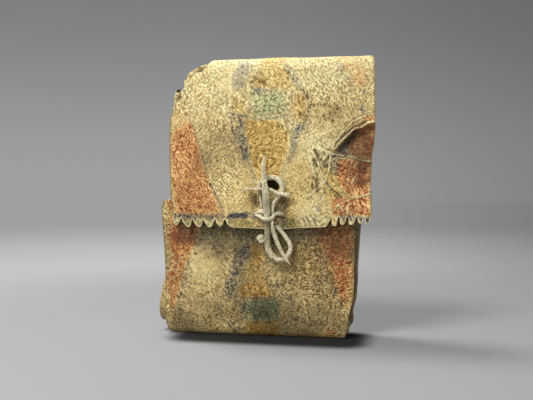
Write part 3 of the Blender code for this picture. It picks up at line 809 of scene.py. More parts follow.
def lay_paint(sheet, points, paints, creases, edges, areas):
    """Writes the painter's pattern, the creases, the distances from the cut edges, and the marked areas of
    soil, painted shade and wrinkles onto a laid sheet.
    """
    x, z = points[:, 0], points[:, 2]
    for paint, filled in zip(PAINTS, paints):
        mark(sheet, paint, cover(x, z, *filled))
    nearest = np.full(x.shape, 4.0)
    for half_width, line in creases:
        nearest = np.minimum(nearest, away(x, z, line) / half_width)
    mark(sheet, "crease", nearest)
    for name, outlines in edges.items():
        mark(sheet, name, np.min([6 + 0 * x, *[away(x, z, outline) for outline in outlines]], axis=0))
    for name, amounts in areas.items():
        mark(sheet, name, amounts)


PAINTED_RAWHIDE = hide_material("rawhide_painted", painted=True)
LOWER_GRID = (LOWER_COLUMNS, LOWER_ROWS + LOWER_FOLD_STEPS + 1)
lower_flap, lower_points = lay_sheet("hide_lower_flap", *LOWER_GRID, lay_lower)
lower_x, _, lower_z = lower_points.T
lay_paint(
    lower_flap,
    lower_points,
    ((LOWER_OCHRE,), (LOWER_GREEN,), (LOWER_RED,), (LOWER_BLUE, LOWER_BLUE_STROKES)),
    LOWER_CREASES,
    {"side_edge": [LOWER_LEFT], "hem_edge": [[(-131, 161), (112, 161)]]},
    {
        "soil_and_shade": 0.36 + spots(lower_x, lower_z, LOWER_SOIL_AND_SHADE),
        "calm": spots(lower_x, lower_z, LOWER_CALM),
        "pitted": cover(lower_x, lower_z, LOWER_PITTED),
    },
)
thicken(lower_flap, PAINTED_RAWHIDE)
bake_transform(lower_flap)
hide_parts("lower_flap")


# The upper flap, folded down over everything. Its edge is cut into small teeth on both sides of a plain
# tab, its top left corner is worn away, and its right side buckled while it dried, with pale creases.
UPPER_FOLD = 0.016
UPPER_FOLD_STEPS = 16
UPPER_ROWS = 150
UPPER_LEFT = [
    (-62.8, 326), (-64.4, 325), (-66.6, 322.6), (-68.8, 319.6), (-71, 316.6), (-74.5, 312.6), (-77.4, 310.5),
    (-83.2, 310.1), (-85.5, 307.2), (-88.8, 303.6), (-91.6, 299.8), (-94, 296.4), (-95.6, 293.8),
    (-99.8, 290.8), (-103.9, 286), (-107.4, 281), (-109.5, 274.5), (-111.9, 267), (-113.5, 262),
    (-114.6, 257.6), (-115.4, 243), (-115.9, 225.5), (-116, 207.6), (-115.6, 190), (-115, 172), (-114, 160),
    (-113, 149), (-112.3, 139.5), (-112.1, 126),
]
UPPER_RIGHT = [
    (122.4, 326), (124.6, 325.2), (126.4, 322.8), (127.4, 319), (127.7, 300), (127.9, 288), (128.3, 269),
    (128.2, 251), (127.4, 235.6), (126.3, 222), (124.4, 211), (124.1, 200.6), (123.3, 181.4), (123.8, 168),
    (124.4, 155), (123.8, 144), (122.4, 126),
]
# The cut edge: valleys between the teeth and the teeth's tips, across and height in millimetres
LEFT_VALLEYS = [
    (-112.1, 140), (-100.7, 140.4), (-86.1, 139.4), (-72.1, 138.4), (-58.1, 139.5), (-46.2, 139.3),
]
LEFT_TIPS = [(-107.3, 130.3), (-91.2, 128.1), (-77.6, 128.2), (-64.8, 128.2), (-51.4, 129.5)]
RIGHT_VALLEYS = [(77.9, 140), (87.1, 141.7), (97, 142.2), (107.7, 142.2), (115.9, 141.9), (123.4, 141)]
RIGHT_TIPS = [(83, 131.2), (91.8, 133), (101.4, 132.6), (111.8, 134.2), (119.8, 133.9)]
TAB_LINE = [
    (-46.2, 139.3), (-43.4, 133.4), (-40.6, 129.5), (-36, 128.4), (-20.9, 127.9), (-0.8, 127.2),
    (20.7, 126.8), (42.8, 128.6), (65.9, 129.6), (73.3, 130.4), (75.7, 134), (77.9, 140),
]
TOOTH_COLUMNS = 16
TAB_COLUMNS = 104


def tooth_row(valleys, tips, gap, bluntness):
    """Places along a row of teeth: blunt round tips, and valleys that may have a gap at their top."""
    line = []
    for (ax, az), (tx, tz), (bx, bz) in zip(valleys, tips, valleys[1:]):
        for i in range(TOOTH_COLUMNS):
            share = i / TOOTH_COLUMNS
            across_tooth = abs(2 * share - 1)
            depth = 1 - min(1.0, across_tooth / (1 - gap)) ** bluntness
            # A tip may stand off the middle of its tooth
            middle = (ax + bx) / 2
            lean = (tx - middle) * (1 - across_tooth)
            line.append((mix(ax, bx, share) + lean, mix(mix(az, bz, share), tz, depth)))
    return line


tab_places = np.array(TAB_LINE)
tab_lengths = np.concatenate([[0], np.cumsum(np.hypot(*np.diff(tab_places, axis=0).T))])
tab_stations = np.linspace(0, tab_lengths[-1], TAB_COLUMNS + 1)[:-1]
hem = tooth_row(LEFT_VALLEYS, LEFT_TIPS, 0.0, 2.1)
hem += list(zip(*[np.interp(tab_stations, tab_lengths, tab_places[:, i]) for i in (0, 1)]))
hem += tooth_row(RIGHT_VALLEYS, RIGHT_TIPS, 0.20, 3.6)
hem += [RIGHT_VALLEYS[-1]]
hem = np.array(hem) * MM
hem_share = (hem[:, 0] - hem[0, 0]) / (hem[-1, 0] - hem[0, 0])

# The buckle: its rolled upper lip, and the sill below it
LIP = [
    (131, 247.4), (125.9, 247.2), (121.4, 246.2), (116.4, 243.4), (113, 240.6), (107.8, 240.6), (103.2, 238),
    (97, 231.4), (91.2, 225), (85.6, 219), (81.4, 215.8), (78.6, 213.8),
]
SILL = [
    (78.6, 213.8), (86.3, 212.6), (94.2, 211.5), (101, 210.2), (108.7, 207.8), (116.7, 205.6), (124.5, 204),
    (131, 203),
]
BUCKLE_DEPTH = 0.0062
LIP_BEAD = 0.0013
SILL_BEAD = 0.0008
CREASES = [
    (1.0, [(53, 233), (61, 226), (69, 218), (78, 214)]),
    (0.9, [(50, 230), (60, 222), (67, 218), (75, 215)]),
    (0.8, [(56, 235), (63, 228), (73, 222), (77, 218)]),
    (0.7, [(51, 247), (54, 238), (57, 231)]),
    (0.6, [(46, 245), (50, 238), (54, 230)]),
    (0.6, [(17, 249), (27, 241), (38, 232)]),
    (0.55, [(23, 250), (34, 240), (42, 232)]),
    (0.6, [(30, 252), (39, 244), (46, 233)]),
    (0.8, [(75, 215), (87, 212), (95, 211), (103, 210), (110, 207), (123, 204)]),
    (0.8, [(50, 223), (55, 207), (57, 197), (57, 188)]),
    (0.9, [(57, 220), (60, 210), (64, 204), (65, 199)]),
    (0.8, [(65, 221), (67, 214), (65, 206), (68, 202)]),
    (0.8, [(76, 215), (72, 210), (68, 205)]),
    (1.0, [(78, 214), (77, 203), (76, 195), (73, 185)]),
    (0.8, [(65, 199), (69, 188), (67, 181), (65, 175)]),
    (0.6, [(46, 219), (51, 210), (54, 203)]),
    (0.55, [(103, 207), (99, 197), (98, 188), (97, 177)]),
    (0.75, [(108, 191), (104, 185), (102, 180)]),
    (0.55, [(108, 204), (104, 198)]),
    (0.7, [(123, 168), (112, 165), (102, 163), (94, 159)]),
    (0.7, [(87, 157), (82, 148)]),
    (0.7, [(87, 156), (94, 146)]),
    (0.8, [(101, 158), (97, 151), (98, 143)]),
    (0.9, [(48, 141), (53, 131)]),
    (0.9, [(53, 142), (60, 130)]),
    (0.85, [(43, 138), (48, 129)]),
    (0.85, [(58, 143), (65, 132)]),
    (0.5, [(40, 135), (45, 130)]),
    (0.7, [(92, 237), (85, 230), (78, 219)]),
    (0.7, [(74, 185), (67, 178), (55, 166), (48, 162)]),
    (0.6, [(62, 173), (57, 169), (50, 165)]),
    (0.5, [(92, 248), (86, 243), (82, 239)]),
    (0.45, [(127, 287), (120, 284), (114, 283)]),
    (0.45, [(-29, 164), (-24, 155), (-19, 147), (-14, 140)]),
    (0.8, [(128, 259), (118, 257), (109, 253), (102, 249), (95, 243), (89, 235)]),
    (0.6, [(128, 262), (116, 260), (106, 256), (98, 251)]),
    (0.8, [(128, 249.4), (120, 248.8), (113, 243.4), (106, 242.8), (98, 236), (91, 228.6), (84, 221)]),
    (0.9, [(54, 220), (58, 214), (61, 207.6), (64.5, 201.7)]),
    (0.95, [(62, 224.6), (68, 219.5), (74, 214.6), (80, 212.6)]),
    (0.8, [(54, 214), (56, 205), (57.8, 197.4), (59.4, 190.5), (61, 185.5)]),
    (0.75, [(64.5, 197.4), (68, 189), (69.6, 180.4), (65.4, 173.5)]),
]
CREASE_RISE = 0.0006
HEM_CURL = 0.0006
# Places where the skin is wrinkled to a net or pitted: how much, how soft their edge, and their outline
UPPER_NET = [
    (0.5, 3.0, [(47, 228), (60, 232), (78, 217), (80, 196), (75, 178), (66, 162), (57, 164), (53, 184),
        (47, 205)]),
    (0.25, 3.0, [(40, 150), (56, 170), (78, 160), (74, 134), (44, 131)]),
    (0.45, 3.0, [(100, 204), (120, 202), (118, 170), (96, 172)]),
    (0.5, 3.0, [(24, 288), (56, 292), (60, 262), (44, 244), (30, 256)]),
    (0.5, 4.0, [(60, 284), (104, 280), (100, 252), (74, 240), (56, 250)]),
]
UPPER_PITTED = [
    (0.55, 6.0, [(34, 282), (72, 284), (106, 276), (84, 250), (52, 246), (36, 258)]),
    (0.6, 2.5, [(96, 204), (122, 202), (121, 180), (104, 176)]),
    (0.35, 5.0, [(60, 326), (126, 326), (126, 290), (80, 292)]),
]
# Round places, with radius and amount: calm ones, and those that swell back or, below 0, forward
UPPER_CALM = [
    (38, 188, 14, 0.35), (50, 148, 8, 0.5), (56, 308, 12, 0.25), (-38, 306, 10, 0.3), (112, 306, 10, 0.2),
    (80, 308, 14, 0.3), (106, 305, 9, 0.25), (-56, 296, 20, 0.1),
]
UPPER_RELIEF = [
    (-2, 297, 4, 2.0), (-9, 301, 3, 1.0), (-16, 303, 6, -1.2), (-1, 290, 4, -0.6), (71, 263, 6, -1.6),
    (84, 261, 6, 2.6), (53, 311, 8, -1.6), (-9, 157, 6, 1.6), (27, 157, 6, 1.8), (-62, 219, 30, 0.8),
    (-40, 172, 22, -0.9), (60, 250, 12, -0.8), (66, 196, 16, -0.8), (100, 190, 12, -0.6), (36, 185, 16, -0.9),
    (-96, 300, 14, 1.0),
]
# The hole worn inside the ring, and the two holes of the tie
RING_HOLE = [
    (3.4, 182.4), (9, 184.2), (15, 183.8), (18.8, 180), (19.2, 174.5), (16.4, 171), (11, 172), (4.4, 172),
    (3, 177),
]
TIE_HOLES = (-10.4, 23.0)
TIE_HOLE_HEIGHT = 140.2
TIE_HOLE_RADII = (2.4, 2.1)
TIE_HOLE_TURNS = np.linspace(0, 5.6, 9)


def buckle_depth(x, z):
    """How far the buckled place lies back, from its lip down to its sill."""
    lip = np.array(LIP[::-1]) * MM
    sill = np.array(SILL) * MM
    top = np.interp(x, lip[:, 0], lip[:, 1])
    foot = np.interp(x, sill[:, 0], sill[:, 1])
    share = (top - z) / np.maximum(top - foot, MM)
    fall = ease((top - z) / 0.0028 + 0.15)
    rise = 1 - 0.86 * np.clip(share, 0, 1) ** 1.3
    inside = fall * rise * (share < 1) + 0.14 * (share >= 1) * ease(1 - (foot - z) / 0.006)
    depth = BUCKLE_DEPTH * ease((x - 0.078) / 0.018) * inside * (top > z)
    lip_bead = np.exp(-(((away(x, z, LIP) - 1.2) / 1.3) ** 2)) * (z > top - 0.0004)
    near = ease((x - 0.074) / 0.008)
    return depth - LIP_BEAD * lip_bead * near - SILL_BEAD * ridge(x, z, SILL, 1.1) * near


def lay_upper(across, up):
    turned = UPPER_FOLD_STEPS + 1
    down = UPPER_ROWS + turned - up
    sine, drop = fold_over(down, UPPER_FOLD_STEPS, UPPER_FOLD)
    panel = np.clip(down - turned, 0, None) / UPPER_ROWS
    z = CASE_HEIGHT - np.where(down > turned, mix(UPPER_FOLD, CASE_HEIGHT - hem[across, 1], panel), drop)
    ragged = MM * 0.5 * ripple(0 * z, 0 * z, z, 0.004, 31)
    left, right = along(UPPER_LEFT[::-1], z), along(UPPER_RIGHT[::-1], z)
    x = mix(left + ragged, right + 0.5 * ragged, hem_share[across])
    swell = unevenness(x, z, (0.0011, 0.055, 37), (0.0007, 0.016, 41), (0.0002, 0.007, 43))
    swell = swell + MM * spots(x, z, UPPER_RELIEF) + buckle_depth(x, z)
    for half_width, line in CREASES:
        swell = swell - CREASE_RISE * min(1.0, half_width) * ridge(x, z, line)
    # The edge curls a little towards the front
    swell = swell - HEM_CURL * ease((z - 0.127) / -0.02 + 1)
    y = stand_off(TOP_HINGE_Y, UPPER_FOLD, down, sine, recess(x, z) + swell)
    return np.stack([x, y, z + crease_wave(x) * (1 - sine)], axis=-1)


UPPER_OCHRE = [
    (0.5, 2.0, [(-3, 330), (22, 330), (26, 313), (32, 300), (32.5, 289.5), (19, 288.5), (2.6, 289.5),
        (-11.7, 292), (-14, 300), (-2.4, 305), (-6, 316)]),
    (1.0, 1.2, [(-21.5, 253.4), (-9, 252), (3, 251.3), (12, 253), (22, 246), (29, 238), (29.5, 233),
        (28, 223), (24, 210), (19, 189.4), (7.7, 186.6), (-4, 187), (-9, 195), (-13.7, 202), (-15.3, 215.6),
        (-17.3, 224), (-19.7, 236), (-21.3, 246.4)]),
    (0.3, 2.5, [(-39, 279), (-21, 280.7), (-19.8, 261.5), (-28, 261), (-40, 264)]),
    (0.5, 2.5, [(38, 280), (48, 281), (50.7, 268), (49.6, 254.6), (42.7, 251), (35.7, 257), (35.6, 271)]),
    (0.4, 3.0, [(-40, 137.5), (-16, 137.7), (-8, 136), (-6.5, 126), (-33, 126)]),
    (0.5, 3.0, [(78, 200), (92, 186), (90, 166), (74, 156), (66, 170), (70, 190)]),
    (0.42, 3.0, [(23, 150), (39, 150), (40, 127), (24, 126)]),
    (0.3, 7.0, [(-54, 196), (-16, 184), (4, 168), (-6, 148), (-46, 148)]),
    (0.34, 6.0, [(28, 212), (50, 200), (62, 176), (50, 148), (26, 150), (24, 176)]),
]
UPPER_GREEN = [
    (0.6, 2.0, [(-14.6, 286), (-2, 285), (13, 286), (24, 283), (28, 275.6), (28.6, 266.4), (25, 258),
        (14.6, 256), (-2, 255.4), (-13, 259), (-15, 272)]),
    (0.6, 1.5, [(-40, 138), (-29, 138), (-28, 130.5), (-37, 130.5)]),
    (0.6, 1.5, [(-24, 137.5), (-9, 136), (-10, 130), (-24, 131)]),
    (0.6, 2.0, [(-108, 138.5), (-62, 138.5), (-62, 131), (-108, 131)]),
    (0.65, 2.5, [(23, 141), (39, 140), (39.4, 129), (24, 128)]),
    (0.5, 2.0, [(62, 138), (75, 138), (75, 130), (62, 130)]),
]
UPPER_RED = [
    (1.02, 5.0, [(-109, 168), (-64, 168), (-53, 144), (-108, 143)]),
    (0.8, 2.0, [(-86.6, 252), (-82, 234.5), (-78.3, 220), (-74.6, 208), (-72, 195.5), (-67, 184), (-62, 172),
        (-58.5, 162.5), (-54.8, 151), (-52.3, 144.7), (-107.6, 144), (-109, 154), (-111, 171), (-112.6, 187),
        (-114, 208), (-113.6, 225), (-112, 238), (-104, 244), (-96, 250)]),
    (0.36, 4.0, [(-98.7, 277), (-92, 263), (-86.6, 249), (-98, 244), (-112, 240), (-108, 252), (-103, 265)]),
    (0.34, 3.0, [(90, 318), (105, 319.6), (113, 315), (120, 305.6), (118.7, 292), (109.7, 287), (103, 291),
        (101.8, 301.5), (95, 308.5)]),
    (0.45, 2.5, [(103, 301), (115, 303), (117, 292), (109.7, 288), (104, 292)]),
    (0.8, 1.5, [(115, 256), (127, 258), (127, 250), (117, 249.6)]),
    (0.96, 1.5, [(102, 243.7), (128, 249), (128, 217.6), (126, 206), (107.7, 209.7), (98.7, 217.7),
        (98.7, 231.3)]),
    (1.22, 1.8, [(86, 205), (102, 206), (122, 203), (120.8, 181), (119, 168), (101, 167), (91, 176),
        (86.5, 188)]),
    (1.05, 1.8, [(80, 162), (100, 164), (121.5, 165.5), (123, 155), (121, 144.4), (80.7, 144)]),
    (0.6, 1.0, [(66, 148.7), (70.4, 148.7), (70.5, 144), (66.6, 144)]),
]
UPPER_BLUE = [
    (0.6, 1.2, [(-29.8, 325), (-16.3, 320), (-17.7, 310.5), (-21.6, 292.4), (-26, 289), (-38.5, 291),
        (-40, 303), (-34.6, 313)]),
    (1.4, 0.9, [(-14, 291), (-7, 290), (-1.6, 288), (-3.3, 285), (-9, 285.5), (-13.3, 287.7)]),
    (0.6, 1.5, [(22.7, 316), (29.3, 314), (37.3, 305), (42.6, 296), (47, 286.7), (48, 282), (43.6, 285),
        (38, 291.5), (32, 298.6), (27, 308)]),
    (0.74, 1.4, [(-30.6, 258), (-24.5, 256), (-22.3, 247.6), (-21.6, 238), (-20, 233.6), (-18, 224),
        (-16, 215.6), (-15.8, 206), (-19.6, 204), (-24.4, 206.4), (-28.3, 216), (-31, 224.5), (-33.5, 232.6),
        (-32, 242), (-30.5, 249)]),
    (0.66, 1.4, [(39, 248.4), (48, 246.6), (46, 240), (40.4, 233), (39.3, 220), (37, 211), (30, 203),
        (26.5, 200), (26, 207), (30.5, 212), (31, 229.6), (34, 239)]),
    (0.66, 1.2, [(110.5, 269), (115.4, 269.6), (117, 264), (113.7, 258), (110.7, 262)]),
    (1.8, 0.5, [(-46, 138.4), (-40.4, 144.4), (-31, 145), (-20, 146), (-17.6, 139.4), (-29, 138.8)]),
    (1.45, 0.8, [(-110.3, 143.4), (-86, 143.4), (-86, 137.5), (-110.3, 137.5)]),
    (0.9, 1.0, [(-86, 143.4), (-47, 144), (-46, 138), (-86, 137.5)]),
    (1.02, 1.5, [(79.6, 212), (85.7, 212), (86.3, 199.6), (84, 188), (79.5, 191.6), (79, 203)]),
    (0.72, 1.2, [(61, 154), (66.8, 153.4), (66, 146.5), (61.3, 147)]),
    (1.08, 1.0, [(87.5, 143), (95.5, 143.5), (94.5, 137), (89.5, 137)]),
    (1.08, 1.0, [(97.5, 143.5), (107, 143.5), (105, 137), (99, 137)]),
    (0.96, 1.0, [(108.2, 143.5), (115.4, 143), (114, 137.5), (110.5, 137.5)]),
    (0.84, 1.0, [(116.6, 142), (122.6, 141), (121.6, 136), (117.6, 136)]),
]
UPPER_BLUE_STROKES = [
    (0.66, 0.7, [(-37, 288.7), (-28.4, 288), (-21, 286), (-18, 280), (-17.4, 269.6), (-17.4, 261.5)]),
    (1.02, 0.7, [(-29.4, 311.5), (-24, 311.8)]),
    (0.84, 0.7, [(-45.5, 283), (-44.7, 276)]),
    (1.14, 1.0, [(-42.4, 262.5), (-30.6, 259), (-21.3, 257.6)]),
    (0.78, 1.1, [(-21.3, 257.6), (-9.6, 254.4), (1.2, 253.3), (10.4, 255.4), (20.5, 255), (28.7, 259.5)]),
    (0.96, 1.0, [(-39.6, 257), (-38.4, 251.4), (-39, 245.5), (-35.3, 236)]),
    (0.54, 1.8, [(-18.5, 204.6), (-15, 197.6), (-13, 188), (-10.7, 179)]),
    (0.72, 0.9, [(-2, 288), (5, 286.8), (12, 287), (20, 284.6)]),
    (0.9, 1.1, [(47, 284.4), (51, 278.6), (52.4, 267), (52, 259), (49.6, 251), (47.3, 246.6)]),
    (0.54, 1.5, [(26.5, 203), (23.6, 197.5), (22.4, 188), (23, 181.4)]),
    (0.43, 1.8, [(87.5, 314.4), (91.6, 304), (98.4, 298), (101.3, 292.4), (104.7, 285.6)]),
    (0.74, 0.8, [(-88.5, 254.7), (-86, 248), (-83, 239.4), (-80, 231), (-77, 221.4), (-75, 215.5),
        (-73.3, 207.7)]),
    (0.5, 0.9, [(-73.3, 207.7), (-70.3, 200), (-68.3, 190.4), (-64, 179)]),
    (0.74, 1.2, [(-64, 179), (-59.7, 171), (-56, 162.5), (-52.7, 156), (-48.7, 147)]),
    (1.3, 2.6, [(86, 213.5), (91.5, 219), (98, 228), (106.5, 238.5)]),
    (0.9, 1.6, [(84, 214), (96, 213)]),
    (1.08, 1.3, [(73.6, 180), (78.4, 173)]),
    (0.96, 1.1, [(70.4, 173.4), (72.7, 167)]),
    (0.96, 1.0, [(67.7, 165.8), (66, 161)]),
    (1.05, 0.9, [(46.5, 140), (50, 134)]),
    (1.05, 0.9, [(56, 142), (59.5, 135)]),
    (0.9, 0.7, [(51, 139), (53.5, 134)]),
]
# Darker places, partly soil and partly painted shade, which darkens the inside of the buckle and the pucker
# round the tie; below 0 the lighter ones
UPPER_SOIL_AND_SHADE = [
    (-60, 215, 34, 0.25), (-20, 228, 22, 0.15), (78, 272, 22, 0.14), (84, 260, 8, 0.35), (44, 268, 12, 0.25),
    (-8, 300, 4.5, 0.28), (0, 297, 4, 0.32), (112, 230, 12, 0.7), (92, 220, 6, 0.8), (120, 216, 9, 0.5),
    (112, 192, 10, 0.55), (96, 192, 8, 0.15), (113, 200.7, 1.7, 0.9), (117, 200, 1.6, 0.9),
    (112, 194.8, 1.7, 0.9), (116.3, 193, 1.7, 0.8), (120.5, 201.6, 1.5, 0.8), (111.2, 183, 1.7, 0.8),
    (115.4, 180.4, 1.7, 0.9), (120.5, 183, 1.5, 0.8), (113, 177, 1.6, 0.8), (108.7, 180.4, 1.5, 0.7),
    (72.2, 200, 1.8, 1.0), (62, 183.7, 1.6, 1.0), (76.3, 218.5, 1.2, 0.8), (119.8, 137, 3.5, 0.7),
    (-90, 152, 16, 0.3), (50, 148, 8, -0.2), (52, 232, 8, -0.35), (66, 222, 7, -0.35), (108, 222, 12, 0.45),
    (-9, 156, 7, 0.55), (25, 160, 6, 0.7), (21, 147, 6, 0.6), (29, 134, 8, 0.6), (60, 190, 14, 0.22),
    (38, 182, 12, 0.1), (-100, 200, 20, 0.14), (-12, 166, 5, 0.35), (12, 148, 7, 0.4), (-52, 312, 22, -0.25),
    (-84, 288, 18, -0.12), (56, 308, 13, -0.45), (-30, 133, 13, 0.3), (2, 132, 14, 0.3),
    (-38, 172, 20, -0.16), (100, 155, 14, 0.1), (84, 200, 8, 0.45), (-90, 160, 20, 0.16), (60, 282, 30, 0.05),
    (50, 136, 12, 0.15),
]
# Dark streaks: the blemish at the top, the line above the buckle's lip, which is a painted shadow of the lip,
# and pits in the brown part
UPPER_STREAKS = [
    (0.7, 0.9, [(-6, 298), (-2, 297), (2, 294), (4, 292)]),
    (0.6, 1.1, [(-16, 295), (-12, 299), (-9, 301)]),
    (0.8, 0.5, [(118, 250.6), (110, 246), (103, 242.5), (97, 238.5), (91, 233), (86, 228.5), (82, 224)]),
    (1.0, 2.0, [(60, 217.5), (63.5, 212.5), (65.3, 206.5)]),
    (0.9, 1.2, [(58.6, 206.5), (62, 200.5)]),
    (0.9, 1.5, [(75.5, 210), (71.3, 205)]),
    (0.9, 1.4, [(57, 178), (57.5, 174)]),
    (1.0, 1.6, [(62.5, 178), (63.2, 172)]),
    (0.9, 1.0, [(80, 173), (85, 169), (90, 164)]),
    (0.8, 0.9, [(83, 166), (87, 162)]),
    (0.6, 0.8, [(55, 270), (65, 270), (74, 270)]),
    (0.8, 1.3, [(43, 260), (46, 258)]),
]
# How near its outline a hole takes the sheet's points along, in millimetres
RIM_REACH = 0.62


def cut_hole(sheet, outline):
    """Cuts a hole through a laid sheet, along an outline given across and in height."""
    build = bmesh.new()
    build.from_mesh(sheet.data)
    places = np.array([v.co for v in build.verts])
    depth = within(places[:, 0], places[:, 2], outline)
    closed = [*outline, outline[0]]
    for vertex, inside in zip(build.verts, depth):
        if abs(inside) > RIM_REACH:
            continue
        px, pz = vertex.co.x / MM, vertex.co.z / MM
        on_rim = []
        for (ax, az), (bx, bz) in zip(closed, closed[1:]):
            dx, dz = bx - ax, bz - az
            share = ((px - ax) * dx + (pz - az) * dz) / (dx * dx + dz * dz)
            share = min(1, max(0, share))
            on_rim.append((ax + share * dx, az + share * dz))
        near = min(on_rim, key=lambda s: math.hypot(s[0] - px, s[1] - pz))
        vertex.co.x, vertex.co.z = near[0] * MM, near[1] * MM
    gone = [f for f in build.faces if all(depth[v.index] > -RIM_REACH for v in f.verts)]
    gone = [f for f in gone if sum(depth[v.index] for v in f.verts) > 0]
    bmesh.ops.delete(build, geom=gone, context="FACES")
    build.to_mesh(sheet.data)
    build.free()


UPPER_GRID = (len(hem) - 1, UPPER_ROWS + UPPER_FOLD_STEPS + 1)
upper_flap, upper_points = lay_sheet("hide_upper_flap", *UPPER_GRID, lay_upper)
upper_x, _, upper_z = upper_points.T
lay_paint(
    upper_flap,
    upper_points,
    ((UPPER_OCHRE,), (UPPER_GREEN,), (UPPER_RED,), (UPPER_BLUE, UPPER_BLUE_STROKES)),
    CREASES,
    {"side_edge": [UPPER_LEFT[17:], UPPER_RIGHT], "hem_edge": [list(map(tuple, hem / MM)), UPPER_LEFT[6:14]]},
    {
        "soil_and_shade": 0.10 + spots(upper_x, upper_z, UPPER_SOIL_AND_SHADE) + cover(upper_x, upper_z, (), UPPER_STREAKS),
        "calm": spots(upper_x, upper_z, UPPER_CALM),
        "net": cover(upper_x, upper_z, UPPER_NET),
        "pitted": cover(upper_x, upper_z, UPPER_PITTED),
    },
)
cut_hole(upper_flap, RING_HOLE)
for hole_x in TIE_HOLES:
    wide, high = TIE_HOLE_RADII
    rim = [(hole_x + wide * math.cos(a), TIE_HOLE_HEIGHT + high * math.sin(a)) for a in TIE_HOLE_TURNS]
    cut_hole(upper_flap, rim)
thicken(upper_flap, PAINTED_RAWHIDE)
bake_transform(upper_flap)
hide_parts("upper_flap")

# A shred of the worn edge, curled into an open roll
SHRED_AROUND = 16
SHRED_ALONG = 10


def lay_shred(across, up):
    """A spiral strip whose axis follows the worn edge, and leans out at its open top."""
    turned = across / SHRED_AROUND
    along_edge = up / SHRED_ALONG
    angle = 0.35 + 5.3 * turned
    radius = mix(0.0030, 0.0024, turned) * mix(0.45, 1.0, ease(along_edge * 1.6))
    lean = 1.15 * ease((along_edge - 0.5) / 0.5)
    x = np.interp(along_edge, (0, 0.55, 1), (-0.1090, -0.1068, -0.1038)) + radius * np.cos(angle)
    y = mix(-0.0210, -0.0238, ease(along_edge)) - radius * np.sin(angle) * np.cos(lean)
    z = mix(0.2720, 0.2896, along_edge) - radius * np.sin(angle) * np.sin(lean)
    z = z + 0.0008 * ripple(x, y, 0 * x, 0.004, 47) * (along_edge > 0.9)
    return np.stack([x, y, z], axis=-1)


shred, _ = lay_sheet("hide_worn_edge_shred", SHRED_AROUND, SHRED_ALONG, lay_shred)
shred_wall = shred.modifiers.new("hide", "SOLIDIFY")
shred_wall.thickness = 0.0007
shred_wall.offset = 0
shred_wall.material_offset = 1
# The inside of the roll is darkened as painted shade
shred.data.materials.append(hide_material("rawhide_inside_the_roll_shaded", shade=0.9))
shred.data.materials.append(RAWHIDE)
bpy.ops.object.modifier_apply(modifier="hide")
shred.data.shade_smooth()
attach(shred, "upper_flap")


# The tie: buckskin thongs. A flat strap with a pointed end goes down in front, loops and comes back up, a
# wrapped turn holds it between two holes, and a ring, a peg thong, a thin tail and a knot complete it.
# Each route is listed across, in depth and in height, with its width, in millimetres.
STRAP = [
    (4.0, -40.5, 210.7, 1.8), (3.3, -40.4, 206.9, 3.4), (2.4, -40.2, 200.5, 4.4), (2.5, -39.8, 192.5, 4.8),
    (3.4, -39.3, 183.5, 5.8), (4.1, -38.8, 173.5, 7.2), (4.8, -37.4, 162.9, 8.3), (5.1, -35.0, 152.5, 8.3),
    (5.1, -32.0, 141.5, 7.8), (5.3, -31.0, 130.0, 6.8), (4.9, -30.2, 119.0, 6.5), (4.7, -28.8, 111.0, 6.9),
    (6.0, -27.8, 103.6, 7.4), (10.0, -27.4, 96.2, 7.0), (16.3, -27.2, 91.9, 5.8), (22.6, -27.2, 91.8, 5.0),
    (28.0, -27.2, 96.2, 5.2), (31.6, -27.3, 103.1, 5.3), (31.0, -27.8, 110.2, 5.0), (26.6, -28.8, 117.8, 4.8),
    (21.0, -30.0, 124.8, 4.4), (16.0, -31.0, 130.4, 3.4),
]
TAIL = [
    (11.7, -34.6, 136.0, 3.8), (12.3, -34.6, 128.9, 4.9), (13.8, -34.0, 121.6, 5.1),
    (18.9, -32.2, 107.5, 4.6), (24.2, -31.5, 97.6, 4.0), (29.4, -31.0, 89.8, 2.9), (32.0, -30.6, 86.3, 1.6),
]
RING = [
    (-1.4, -30.4, 151.5, 2.0), (-2.6, -30.4, 159.5, 2.4), (-3.8, -30.3, 166.5, 3.6),
    (-4.2, -30.4, 175.6, 3.6), (-2.4, -30.4, 181.8, 3.6), (4.0, -30.8, 185.8, 4.8), (11.0, -31.0, 186.9, 5.6),
    (17.2, -31.0, 184.6, 5.8), (21.8, -30.8, 178.6, 5.6), (22.8, -30.6, 171.8, 5.2),
    (19.4, -30.4, 165.6, 4.6), (14.6, -30.4, 159.8, 4.4), (11.6, -30.3, 153.5, 4.5),
    (11.0, -30.3, 148.5, 4.2), (11.8, -30.3, 144.4, 3.4),
]
PEG = [
    (-22.0, -33.5, 173.2, 1.7), (-18.6, -33.6, 172.6, 1.9), (-16.0, -33.7, 173.9, 2.1),
    (-12.0, -34.0, 173.2, 2.7), (-4.0, -34.2, 173.1, 3.0), (4.0, -34.0, 173.3, 3.2), (9.0, -33.9, 173.0, 3.6),
    (14.6, -34.2, 170.0, 4.1), (20.8, -34.4, 168.0, 4.3), (26.4, -34.4, 167.2, 4.6),
    (31.4, -34.1, 166.3, 5.2),
]
THONG_SIDES = 18
# A thong's ribs, in metres a radian, its lumps' size and how much they add, and how blunt the ends are
THONG_RIBS = 0.00042
THONG_LUMPS = 0.0035
THONG_SWELL = 0.16
THONG_TIP = 0.35
